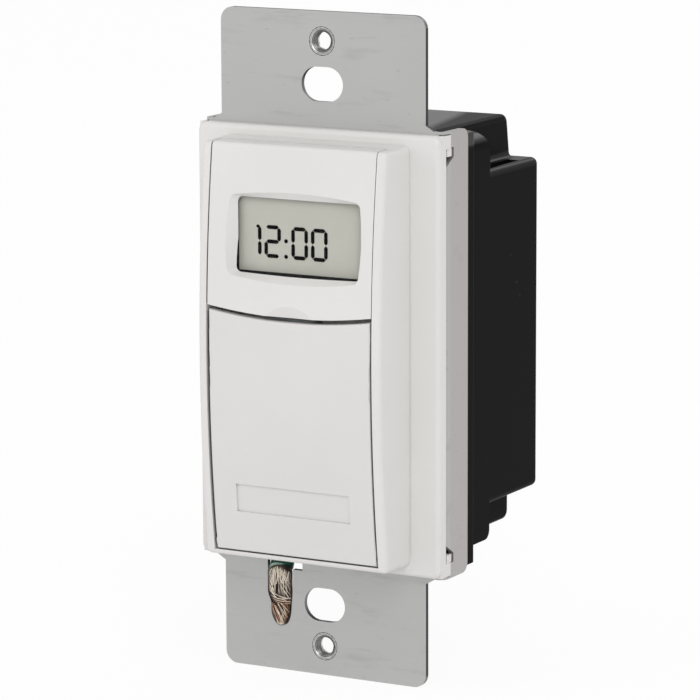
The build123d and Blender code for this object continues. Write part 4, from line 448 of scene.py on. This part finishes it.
def wound(name, colour, turn):
    """Enamelled wire: turns side by side from front to back, with painted highlights on each turn's crest and
    painted shade between the turns.
    """
    finish = Finish(name, metallic=0.75, roughness=0.3, coat_weight=0.4)
    _, y, _ = finish.axes()
    # Painted light: each turn is lighter at its crest and darker between turns.
    crest_highlight = (y * (math.tau / turn)).math("SINE") * 0.5 + 0.5
    wander = finish.noise(500.0, 2.0)
    highlight_share = (crest_highlight * 0.7 + wander * 0.3).over(0.1, 0.9)
    finish.colour(finish.mix(highlight_share, shade(colour, 0.55), shade(colour, 1.2)))
    finish.vary("Roughness", wander * 0.15 + 0.22)
    finish.bump(wander, 0.01 * MM)
    return finish


def earth_sleeve(colours):
    """Green insulation, pale where the knife cut it."""
    finish = Finish("green_sleeve", roughness=0.38)
    _, y, z = finish.axes()
    along = (y - WIRE_CUT_DEPTH) * math.sin(WIRE_CUT_SLANT) + (z - WIRE_CUT_HEIGHT) * math.cos(WIRE_CUT_SLANT)
    cut = 1 - along.over(0.06 * MM, 0.16 * MM)
    drift = finish.noise(400.0, 3.0)
    tone = finish.mix(drift.over(0.3, 0.7), shade(colours.insulation, 0.8), shade(colours.insulation, 1.25))
    finish.colour(finish.mix(cut, tone, (0.38, 0.55, 0.46)))
    finish.vary("Roughness", drift * 0.15 + 0.3)
    finish.bump(finish.noise(1800.0, 2.0), 0.01 * MM)
    return finish


def earth_copper(colours):
    """Tinned strands that turn to bare copper towards the tip, with painted highlights on the strands' fronts
    and painted shade in the hollows between the strands.
    """
    finish = Finish("bare_copper", metallic=0.85, roughness=0.34)
    x, y, z = finish.axes()
    low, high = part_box("ground_strands")
    half_width, side_drop = 1.95 * MM, 0.42 * MM
    aside = (x - (low.x + high.x) / 2) * (1 / half_width)
    depth = y - low.y - aside * aside * side_drop
    grime = finish.noise(1500.0, 3.0, (1, 1, 0.35))
    wander = finish.noise(300.0, 2.0)
    tinned = (wander * (1.6 * MM) + z).over(-41.6 * MM, -39.9 * MM)
    ends = 1 - (wander * (0.8 * MM) + z).over(-45.0 * MM, -44.5 * MM)
    # Painted highlight: the front-most part of each strand is made pale, as are the strands' cut ends.
    crest = 1 - depth.over(0.03 * MM, 0.10 * MM)
    # Painted shade: strands darken the deeper they lie under the bundle's front.
    hollow_shade = (tinned * (0.24 * MM) + (wander * 0.16 - 0.36) * MM + depth).over(0.0, 0.14 * MM)
    tone = finish.mix(tinned, colours.copper, colours.tinned)
    tone = finish.mix(ends.greater(crest) * 0.85, tone, shade(colours.tinned, 1.15))
    tone = finish.mix(grime.over(0.54, 0.66) * 0.5, tone, shade(colours.copper, 0.3))
    finish.colour(finish.mix(hollow_shade * 0.93, tone, (0.04, 0.026, 0.018)))
    finish.vary("Roughness", grime * 0.25 + 0.24)
    finish.bump(grime, 0.01 * MM)
    return finish


def sleeve_band(name, colour, band):
    """Shrunk sleeve of the electrolytic capacitor with a pale stripe on one side."""
    finish = Finish(name, roughness=0.25, coat_weight=0.5)
    x, _, z = finish.axes()
    centre_x, centre_z, half_width = -11.0 * MM, -16.5 * MM, 2.5 * MM
    stripe = 1 - abs(x - centre_x).over(half_width * 0.9, half_width)
    front = (z - centre_z).over(0.0, 0.2 * MM)
    drift = finish.noise(300.0, 2.0)
    tone = finish.mix(drift, shade(colour, 0.85), shade(colour, 1.15))
    finish.colour(finish.mix(stripe * front, tone, band))
    finish.vary("Roughness", drift * 0.1 + 0.2)
    finish.bump(drift, 0.02 * MM)
    return finish


def banded_resistor():
    """Ceramic-coated resistor with colour bands."""
    finish = Finish("resistor_coat", roughness=0.5)
    left, length = -6.0 * MM, 8.0 * MM
    bands = finish.node("ShaderNodeValToRGB", fac=(finish.axes()[0] - left) / length)
    ramp = bands.color_ramp
    ramp.interpolation = "CONSTANT"
    for index, (place, colour) in enumerate(RESISTOR_BANDS):
        stop = ramp.elements[index] if index < len(ramp.elements) else ramp.elements.new(place)
        stop.position = place
        stop.color = (*colour, 1.0)
    finish.colour(bands.outputs[0])
    finish.vary("Roughness", finish.noise(800.0, 2.0) * 0.2 + 0.35)
    finish.bump(finish.noise(1600.0, 2.0), 0.02 * MM)
    return finish


def make_finishes(colours):
    """One finish for each material slot of the record."""
    return {
        "strap_steel": strap_steel(colours),
        "white_cover": white_plastic("white_cover", colours.cover, 0.40),
        "white_door": white_plastic("white_door", colours.door, 0.44),
        "black_housing": housing_black(colours),
        "clear_lens": clear_window(),
        "display": display_glass(colours),
        "grey_button": moulded("grey_button", colours.key, 0.5),
        "silicone": moulded("silicone", (0.60, 0.62, 0.61), 0.62, 0.02, 900.0),
        "steel": plated("steel", (0.56, 0.56, 0.57)),
        "cell_steel": plated("cell_steel", (0.70, 0.70, 0.71), 0.22, (1, 0.05, 1)),
        "brass": plated("brass", (0.72, 0.52, 0.24), 0.28),
        "clear_frame": moulded("clear_frame", (0.62, 0.62, 0.60), 0.5),
        "strip_rubber": moulded("strip_rubber", (0.20, 0.20, 0.22), 0.6, 0.02, 1200.0),
        "board_green": circuit_board(colours),
        "chip_black": moulded("chip_black", (0.025, 0.025, 0.027), 0.55, 0.02, 1800.0, 0.1),
        "sheet_film": moulded("sheet_film", (0.50, 0.47, 0.36), 0.35, 0.01, 700.0),
        "relay_blue": moulded("relay_blue", (0.03, 0.12, 0.36), 0.3, 0.01, 700.0),
        "relay_black": moulded("relay_black", (0.03, 0.03, 0.03), 0.5),
        "iron": plated("iron", (0.44, 0.43, 0.42), 0.34),
        "copper_coil": wound("copper_coil", (0.50, 0.17, 0.06), COIL_TURN),
        "film_box": moulded("film_box", (0.52, 0.38, 0.05), 0.32, 0.01, 900.0),
        "can_sleeve": sleeve_band("can_sleeve", (0.02, 0.03, 0.07), (0.5, 0.52, 0.55)),
        "disc_coat": moulded("disc_coat", (0.04, 0.14, 0.42), 0.35, 0.06, 500.0),
        "fuse_body": moulded("fuse_body", (0.62, 0.65, 0.64), 0.2, 0.01, 900.0),
        "resistor_coat": banded_resistor(),
        "ferrite": moulded("ferrite", (0.05, 0.05, 0.052), 0.6, 0.03, 1500.0, 0.15),
        "green_sleeve": earth_sleeve(colours),
        "bare_copper": earth_copper(colours),
        "bush_black": moulded("bush_black", (0.02, 0.02, 0.02), 0.6, 0.02, 1500.0, 0.1),
    }


def finished(name):
    """The material of a slot, made by the finishes' operator."""
    material = bpy.data.materials.get(name + "_finish")
    if material is None:
        raise RuntimeError("run the finishes first: there is no " + name)
    return material


def piece(name, mesh, slot, body, *replaced):
    """An object at the origin whose place is in its mesh, with a slot's finish, riding on a body."""
    obj = bpy.data.objects.new(name, mesh)
    bpy.context.collection.objects.link(obj)
    mesh.materials.clear()
    mesh.materials.append(finished(slot))
    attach(obj, body)
    if replaced:
        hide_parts(*replaced)
    return obj


def to_mesh(form, name, smooth=True):
    """A mesh from a bmesh, with its normals outwards and merged doubles."""
    bmesh.ops.remove_doubles(form, verts=form.verts, dist=0.0005 * MM)
    bmesh.ops.recalc_face_normals(form, faces=form.faces)
    mesh = bpy.data.meshes.new(name)
    form.to_mesh(mesh)
    form.free()
    for polygon in mesh.polygons:
        polygon.use_smooth = smooth
    return mesh


def spun(form, profile, centre, steps):
    """A closed profile, given as points, turned once round a line along Y through a centre."""
    verts = [form.verts.new(point) for point in profile]
    edges = [form.edges.new(pair) for pair in zip(verts, verts[1:] + verts[:1])]
    bmesh.ops.spin(form, geom=[*verts, *edges], cent=centre, axis=(0, 1, 0), angle=math.tau, steps=steps,
                   use_merge=True, use_duplicate=False)


def printed(name, low, high, grain, roughness, **shader):
    """Ink that is faintly mottled between two shades."""
    ink = Finish(name, roughness=0.5, **shader)
    mottle = ink.noise(grain, 2.0)
    ink.colour(ink.mix(mottle, low, high))
    ink.vary("Roughness", mottle * 0.1 + roughness)
    return ink.material


def bar(form, centre, size, chamfer):
    """A bevelled bar added to a bmesh."""
    made = bmesh.ops.create_cube(form, size=1.0)["verts"]
    bmesh.ops.scale(form, verts=made, vec=size)
    bmesh.ops.translate(form, verts=made, vec=centre)
    edges = {edge for vert in made for edge in vert.link_edges}
    bmesh.ops.bevel(form, geom=list(edges), offset=chamfer, segments=1, affect="EDGES", profile=0.5,
                    material=-1)


def segment(form, start, end, width, y, depth):
    """One hexagonal display segment between two points (x, z), as a thin plate."""
    start, end = Vector(start), Vector(end)
    along = (end - start).normalized()
    across = Vector((-along.y, along.x)) * (width / 2)
    tip = along * (width / 2)
    outline = [start, start + tip + across, end - tip + across, end, end - tip - across, start + tip - across]
    verts = [form.verts.new((point.x, y, point.y)) for point in outline]
    face = form.faces.new(verts)
    made = bmesh.ops.extrude_face_region(form, geom=[face], use_keep_orig=True)["geom"]
    bmesh.ops.translate(form, verts=[item for item in made if isinstance(item, bmesh.types.BMVert)],
                        vec=(0, depth, 0))


class TIMER_OT_finishes(bpy.types.Operator):
    """Give every solid of the frame the finish of its material slot"""

    bl_idname = "timer.finishes"
    bl_label = "Finishes"

    def execute(self, context):
        finishes = make_finishes(context.scene.timer_colours)
        for row in FRAME["record"]["subparts"]:
            obj = FRAME["nodes"][row["node"]]
            material = finishes[row["material_slot"]].material
            if not obj.material_slots:
                obj.data.materials.append(material)
            for slot in obj.material_slots:
                slot.link = "OBJECT"
                slot.material = material
        return {"FINISHED"}


class TIMER_OT_digits(bpy.types.Operator):
    """Lay the dark segments of the time on the display"""

    bl_idname = "timer.digits"
    bl_label = "Digits"

    def execute(self, context):
        self.sizes = context.scene.timer_sizes
        clearance, self.depth = 0.005 * MM, 0.025 * MM
        self.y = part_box("lcd_glass")[0].y - self.depth - clearance
        self.form = bmesh.new()
        for left, lit in DIGITS:
            for name in lit:
                self.stroke(left * MM, *SEGMENTS[name])
        self.flag(-7.15 * MM, 0.75 * MM)
        for z in (18.0 * MM, 15.55 * MM):
            self.dot(-1.78 * MM, z, 0.33 * MM)
        digit = context.scene.timer_colours.digit
        obj = piece("display_digits", to_mesh(self.form, "display_digits", False), "display", ROOT)
        obj.data.materials[0] = printed("segment_ink", shade(digit, 0.8), shade(digit, 1.3), 1500.0, 0.3,
                                        specular_ior_level=0.02)
        return {"FINISHED"}

    def stroke(self, left, *corners):
        """A segment between two corners of a digit, given as (0 or 1, 0 to 2) from the lower left."""
        width = self.sizes.segment_width
        across, up = self.sizes.digit_width - width, (self.sizes.digit_height - width) / 2
        foot = self.sizes.digit_top - self.sizes.digit_height + width / 2
        start, end = (Vector((left + width / 2 + column * across, foot + row * up))
                      for column, row in corners)
        gap = (end - start).normalized() * (width * 0.08)
        segment(self.form, start + gap, end - gap, width, self.y, self.depth)

    def flag(self, left, length):
        """The short stroke at the top left of the second digit."""
        width = self.sizes.segment_width
        start = Vector((left, self.sizes.digit_top - width / 2))
        segment(self.form, start, start + Vector((length, 0)), width * 0.8, self.y, self.depth)

    def dot(self, x, z, radius):
        """One dot of the colon."""
        made = bmesh.ops.create_cone(self.form, cap_ends=True, segments=20, radius1=radius, radius2=radius,
                                     depth=self.depth)["verts"]
        bmesh.ops.rotate(self.form, verts=made, matrix=Matrix.Rotation(math.pi / 2, 3, "X"))
        bmesh.ops.translate(self.form, verts=made, vec=(x, self.y + self.depth / 2, z))


class TIMER_OT_threads(bpy.types.Operator):
    """Cut-in thread turns inside the strap's two tapped holes"""

    bl_idname = "timer.threads"
    bl_label = "Threads"

    def execute(self, context):
        crest, pitch = context.scene.timer_sizes.thread_radius, context.scene.timer_sizes.thread_pitch
        start, length = 0.42 * MM, 1.1 * MM
        turns, steps = length / pitch, 32
        half = pitch * 0.36
        form = bmesh.new()
        for height in (-HOLE_HEIGHT, HOLE_HEIGHT):
            verts = [form.verts.new((radius, start + shift, height))
                     for radius, shift in ((THREAD_OUTER, -half), (crest, 0), (THREAD_OUTER, half))]
            face = form.faces.new(verts)
            made = bmesh.ops.spin(form, geom=[*verts, *face.edges, face], cent=(0, 0, height),
                                  axis=(0, 1, 0), dvec=(0, pitch / steps, 0), angle=math.tau * turns,
                                  steps=round(turns * steps), use_duplicate=False)
            if not made["geom_last"]:
                raise RuntimeError("the thread wasn't spun")
        bmesh.ops.holes_fill(form, edges=[edge for edge in form.edges if edge.is_boundary], sides=4)
        piece("hole_threads", to_mesh(form, "hole_threads"), "strap_steel", ROOT)
        return {"FINISHED"}


def strand_sides(z):
    """The earth strands' left and right edges at a height, measured from the wire's middle."""
    height = max(min(z / MM, STRAND_EDGES[0][0]), STRAND_EDGES[-1][0])
    for (z0, left0, right0), (z1, left1, right1) in zip(STRAND_EDGES, STRAND_EDGES[1:]):
        if height >= z1:
            share = (z0 - height) / (z0 - z1)
            return (left0 + (left1 - left0) * share) * MM, (right0 + (right1 - right0) * share) * MM
    raise RuntimeError("no edges of the strands at this height")


class TIMER_OT_earth_strands(bpy.types.Operator):
    """Lay the earth wire's bare strands in the strap's slot"""

    bl_idname = "timer.earth_strands"
    bl_label = "Earth strands"

    def execute(self, context):
        sizes = context.scene.timer_sizes
        low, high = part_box("ground_strands")
        self.middle = (low.x + high.x) / 2
        self.front = low.y
        self.foot = low.z
        self.radius = sizes.strand_radius
        self.draw = random.Random(11)
        self.data = bpy.data.curves.new("earth_strands", "CURVE")
        self.data.dimensions = "3D"
        self.data.bevel_depth = self.radius
        self.data.bevel_resolution = 2
        self.data.use_fill_caps = True
        count = sizes.strand_count
        # Each layer: strands, depth under the front in mm, thickness as a share, foot of the fan in mm
        for number, sink, thick, foot in ((count, 0.03, 0.85, -41.2), (count - 1, 0.22, 0.95, -42.4),
                                          (9, 0.62, 2.2, -42.4)):
            for index in range(number):
                share = (index + 0.5) / number * 2 - 1
                self.fan(share, sink * MM, thick, (-35.95 - 0.35 * share * share) * MM, foot * MM)
                self.twist(share, sink * MM, thick)
        for start, end, sag, sink in WRAPS:
            self.wrap(start * MM, end * MM, sag * MM, sink * MM)
        for first, top, last, end in STRAYS:
            self.stray(first, top * MM, last, end * MM)
        source = bpy.data.objects.new("earth_strands_line", self.data)
        bpy.context.collection.objects.link(source)
        mesh = bpy.data.meshes.new_from_object(source)
        mesh.name = "earth_strands"
        bpy.data.objects.remove(source)
        for polygon in mesh.polygons:
            polygon.use_smooth = True
        piece("earth_strands", mesh, "bare_copper", ROOT, "ground_strands")
        return {"FINISHED"}

    def line(self, points, thick):
        """One bent wire through points (share of the width, depth under the front, height)."""
        spline = self.data.splines.new("NURBS")
        spline.points.add(len(points) - 1)
        for point, (share, sink, z) in zip(spline.points, points):
            left, right = strand_sides(z)
            edge = self.radius * thick
            share = max(-1.0, min(1.0, share))
            x = (left + edge) + (right - left - 2 * edge) * (share + 1) / 2
            fall_back = (1 - math.sqrt(max(0.0, 1 - share * share * 0.9))) * 0.85 * MM
            point.co = (self.middle + x, self.front + edge + sink + fall_back, z, 1.0)
            point.radius = thick
        spline.order_u = 3
        spline.use_endpoint_u = True

    def fan(self, share, sink, thick, top, end):
        """A strand of the upper part, which spreads and leans as it comes down."""
        lean = self.draw.uniform(0.0, 0.28) if share > -0.2 else self.draw.uniform(-0.22, 0.05)
        end += self.draw.uniform(-0.3, 0.0) * MM
        points = []
        for index in range(9):
            fall = index / 8
            wave = self.draw.uniform(-0.045, 0.045)
            tuck = max(0.0, 0.12 - fall) * 1.5 * MM + max(0.0, fall - 0.8) * 0.9 * MM
            depth = sink + self.draw.uniform(0, 0.055) * MM + tuck
            points.append((share + lean * fall * fall + wave, depth, top + (end - top) * fall))
        self.line(points, thick)

    def twist(self, share, sink, thick):
        """A strand of the lower part, twisted to the right, with its own end."""
        end = self.foot + (0.08 * share * share + self.draw.uniform(0.02, 0.18)) * MM + self.radius * thick
        top = -41.0 * MM
        points = []
        for index in range(7):
            fall = index / 6
            turn = share - 0.28 + fall * 0.55 + self.draw.uniform(-0.05, 0.05)
            dip = (0.24 * (1 - fall) ** 2 + 0.16) * MM + self.draw.uniform(0, 0.06) * MM
            points.append((turn, sink + dip, top + (end - top) * fall))
        self.line(points, thick)

    def stray(self, first, top, last, end):
        """A loose strand on the bundle's front that runs aslant, with a slight bow."""
        bow = self.draw.uniform(-0.12, 0.12)
        points = []
        for index in range(7):
            fall = index / 6
            points.append((first + (last - first) * fall + bow * math.sin(math.pi * fall),
                           self.draw.uniform(0, 0.02) * MM, top + (end - top) * fall))
        self.line(points, self.draw.uniform(0.7, 0.9))

    def wrap(self, start, end, sag, sink):
        """A stray strand that crosses the bundle's front, aslant, and sags in the middle."""
        points = []
        for index in range(9):
            across = index / 8
            z = start + (end - start) * across - sag * math.sin(math.pi * across)
            points.append((across * 2 - 1, sink + self.draw.uniform(0, 0.05) * MM,
                           z + self.draw.uniform(-0.05, 0.05) * MM))
        self.line(points, self.draw.uniform(0.9, 1.25))


class TIMER_OT_windings(bpy.types.Operator):
    """Wind the relay's coil and the choke turn by turn"""

    bl_idname = "timer.windings"
    bl_label = "Windings"

    def execute(self, context):
        sizes = context.scene.timer_sizes
        low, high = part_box("relay_coil")
        self.wind("relay_winding", low, high, (3.0 * MM, (high.x - low.x) / 2), sizes.coil_wire, "relay_coil")
        low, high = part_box("choke")
        inset = Vector((0, 1.0 * MM, 0))
        self.wind("choke_winding", low + inset, high - inset, (3.62 * MM, 4.05 * MM), sizes.choke_wire)
        return {"FINISHED"}

    def wind(self, name, low, high, radii, wire, *replaced):
        """A ring between two corners whose outside is scalloped by the turns of wire."""
        centre = (low + high) / 2
        inner, outer = radii
        turns = max(1, round((high.y - low.y) / wire))
        step = (high.y - low.y) / turns
        profile = [(centre.x + inner, low.y, centre.z)]
        for index in range(turns):
            for share in (0.04, 0.2, 0.5, 0.8, 0.96):
                bulge = math.sin(math.pi * share) * step / 2
                profile.append((centre.x + outer - step / 2 + bulge, low.y + (index + share) * step,
                                centre.z))
        profile.append((centre.x + inner, high.y, centre.z))
        form = bmesh.new()
        spun(form, profile, centre, 40)
        piece(name, to_mesh(form, name), "copper_coil", ROOT, *replaced)


class TIMER_OT_key_marks(bpy.types.Operator):
    """Raise a plus, a minus and plain marks on the keys behind the door"""

    bl_idname = "timer.key_marks"
    bl_label = "Key marks"

    def execute(self, context):
        size = context.scene.timer_sizes.mark_height
        ink = printed("mark_ink", (0.70, 0.70, 0.70), (0.80, 0.80, 0.79), 1200.0, 0.45)
        stroke, rise = size * 0.2, 0.16 * MM
        marks = {
            "plus_button": (((0, 0), (size, stroke)), ((0, 0), (stroke, size))),
            "minus_button": (((0, 0), (size, stroke)),),
            "mode_button": tuple(((0, row * size * 0.4), (size, stroke)) for row in (1, 0, -1)),
            "on_off_button": (((-size * 1.2, 0), (stroke * 1.4, size)),),
        }
        for node, bars in marks.items():
            low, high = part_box(node)
            centre = (low + high) / 2
            form = bmesh.new()
            for (dx, dz), (wide, tall) in bars:
                bar(form, (centre.x + dx, low.y, centre.z + dz), (wide, rise, tall), rise * 0.2)
            if node == "on_off_button":
                self.ring(form, (centre.x + size * 1.2, low.y, centre.z), size * 0.5, stroke, rise)
            obj = piece(node + "_mark", to_mesh(form, node + "_mark", False), "grey_button", node)
            obj.data.materials[0] = ink
        return {"FINISHED"}

    def ring(self, form, centre, radius, stroke, rise):
        """A flat raised ring that faces the front."""
        x, y, z = centre
        outer, inner, front, back = x + radius, x + radius - stroke, y - rise / 2, y + rise / 2
        spun(form, [(inner, front, z), (outer, front, z), (outer, back, z), (inner, back, z)], centre, 36)


class TIMER_OT_stage(bpy.types.Operator):
    """Set the camera at the photograph's angle, over a pale floor in soft light"""

    bl_idname = "timer.stage"
    bl_label = "Stage"

    def execute(self, context):
        self.camera(context.scene)
        self.floor(context.scene.timer_colours.floor)
        self.light(context.scene)
        context.scene.view_settings.view_transform = "Standard"
        return {"FINISHED"}

    def camera(self, scene):
        """The camera's turn, distance and aim, fitted to the photograph."""
        yaw, pitch, roll = math.radians(28.88), math.radians(10.32), math.radians(-0.207)
        back = Vector((math.sin(yaw) * math.cos(pitch), -math.cos(yaw) * math.cos(pitch), math.sin(pitch)))
        level = Vector((0, 0, 1)).cross(back).normalized()
        upright = back.cross(level)
        right = level * math.cos(roll) + upright * math.sin(roll)
        up = upright * math.cos(roll) - level * math.sin(roll)
        distance, shift_x, shift_y = 659.2 * MM, -4.197 * MM, 0.362 * MM
        place = back * distance - right * shift_x - up * shift_y
        data = bpy.data.cameras.new("photo_camera")
        data.lens = 215.3
        data.sensor_width = 36.0
        data.clip_start = 0.01
        data.clip_end = 20.0
        camera = bpy.data.objects.new("photo_camera", data)
        camera.matrix_world = Matrix.Translation(place) @ Matrix((right, up, back)).transposed().to_4x4()
        bpy.context.collection.objects.link(camera)
        scene.camera = camera

    def floor(self, colour):
        """A pale floor that looks white to the camera and still takes the object's shadow."""
        form = bmesh.new()
        bmesh.ops.create_grid(form, x_segments=1, y_segments=1, size=5.0)
        bmesh.ops.translate(form, verts=form.verts, vec=(0, 0, CAD_BOX[0][2] - 0.05 * MM))
        mesh = bpy.data.meshes.new("floor")
        form.to_mesh(mesh)
        form.free()
        finish = Finish("floor", roughness=0.9, specular_ior_level=0.1)
        drift = finish.noise(2.0, 2.0)
        finish.colour(finish.mix(drift, shade(colour, 0.99), shade(colour, 1.01)))
        glow = finish.node("ShaderNodeEmission", color=(1, 1, 1, 1), strength=1.0)
        ray = finish.node("ShaderNodeLightPath")
        camera, gloss, through = (finish.value(ray.outputs[f"Is {kind} Ray"])
                                  for kind in ("Camera", "Glossy", "Transmission"))
        blend = finish.node("ShaderNodeMixShader", fac=camera.greater(gloss).greater(through) * 0.93)
        finish.tree.links.new(finish.shader.outputs[0], blend.inputs[1])
        finish.tree.links.new(glow.outputs[0], blend.inputs[2])
        output = next(node for node in finish.tree.nodes if node.type == "OUTPUT_MATERIAL")
        finish.tree.links.new(blend.outputs[0], output.inputs["Surface"])
        mesh.materials.append(finish.material)
        obj = bpy.data.objects.new("floor", mesh)
        bpy.context.collection.objects.link(obj)

    def light(self, scene):
        """An even white room and three soft lamps that face the object."""
        world = bpy.data.worlds.new("studio")
        world.use_nodes = True
        room = world.node_tree.nodes["Background"]
        room.inputs["Color"].default_value = (1.0, 1.0, 1.0, 1.0)
        room.inputs["Strength"].default_value = 0.66
        scene.world = world
        for name, (place, power, size) in LAMPS.items():
            data = bpy.data.lights.new(name, "AREA")
            data.energy = power
            data.size = size
            lamp = bpy.data.objects.new(name, data)
            lamp.location = place
            lamp.rotation_euler = Vector(place).to_track_quat("Z", "Y").to_euler()
            bpy.context.collection.objects.link(lamp)


class TIMER_PT_panel(bpy.types.Panel):
    """Lists the timer's operators and settings"""

    bl_idname = "TIMER_PT_panel"
    bl_label = "Timer light switch"
    bl_space_type = "VIEW_3D"
    bl_region_type = "UI"
    bl_category = "Timer"

    def draw(self, context):
        for operator in OPERATORS:
            self.layout.operator(operator.bl_idname)
        for group in (context.scene.timer_sizes, context.scene.timer_colours):
            for name in group.bl_rna.properties.keys():
                if name not in ("rna_type", "name"):
                    self.layout.prop(group, name)


OPERATORS = (TIMER_OT_stage, TIMER_OT_finishes, TIMER_OT_digits, TIMER_OT_threads, TIMER_OT_earth_strands,
             TIMER_OT_windings, TIMER_OT_key_marks)
CLASSES = (TimerColours, TimerSizes, *OPERATORS, TIMER_PT_panel)


def register():
    """Make the operators, panel and settings known to Blender."""
    for item in CLASSES:
        bpy.utils.register_class(item)
    bpy.types.Scene.timer_colours = PointerProperty(type=TimerColours)
    bpy.types.Scene.timer_sizes = PointerProperty(type=TimerSizes)


def unregister():
    """Take them away again."""
    del bpy.types.Scene.timer_sizes
    del bpy.types.Scene.timer_colours
    for item in reversed(CLASSES):
        bpy.utils.unregister_class(item)


def main():
    """Build the whole scene."""
    register()
    for operator in OPERATORS:
        group, name = operator.bl_idname.split(".")
        getattr(getattr(bpy.ops, group), name)()


if __name__ == "__main__":
    main()
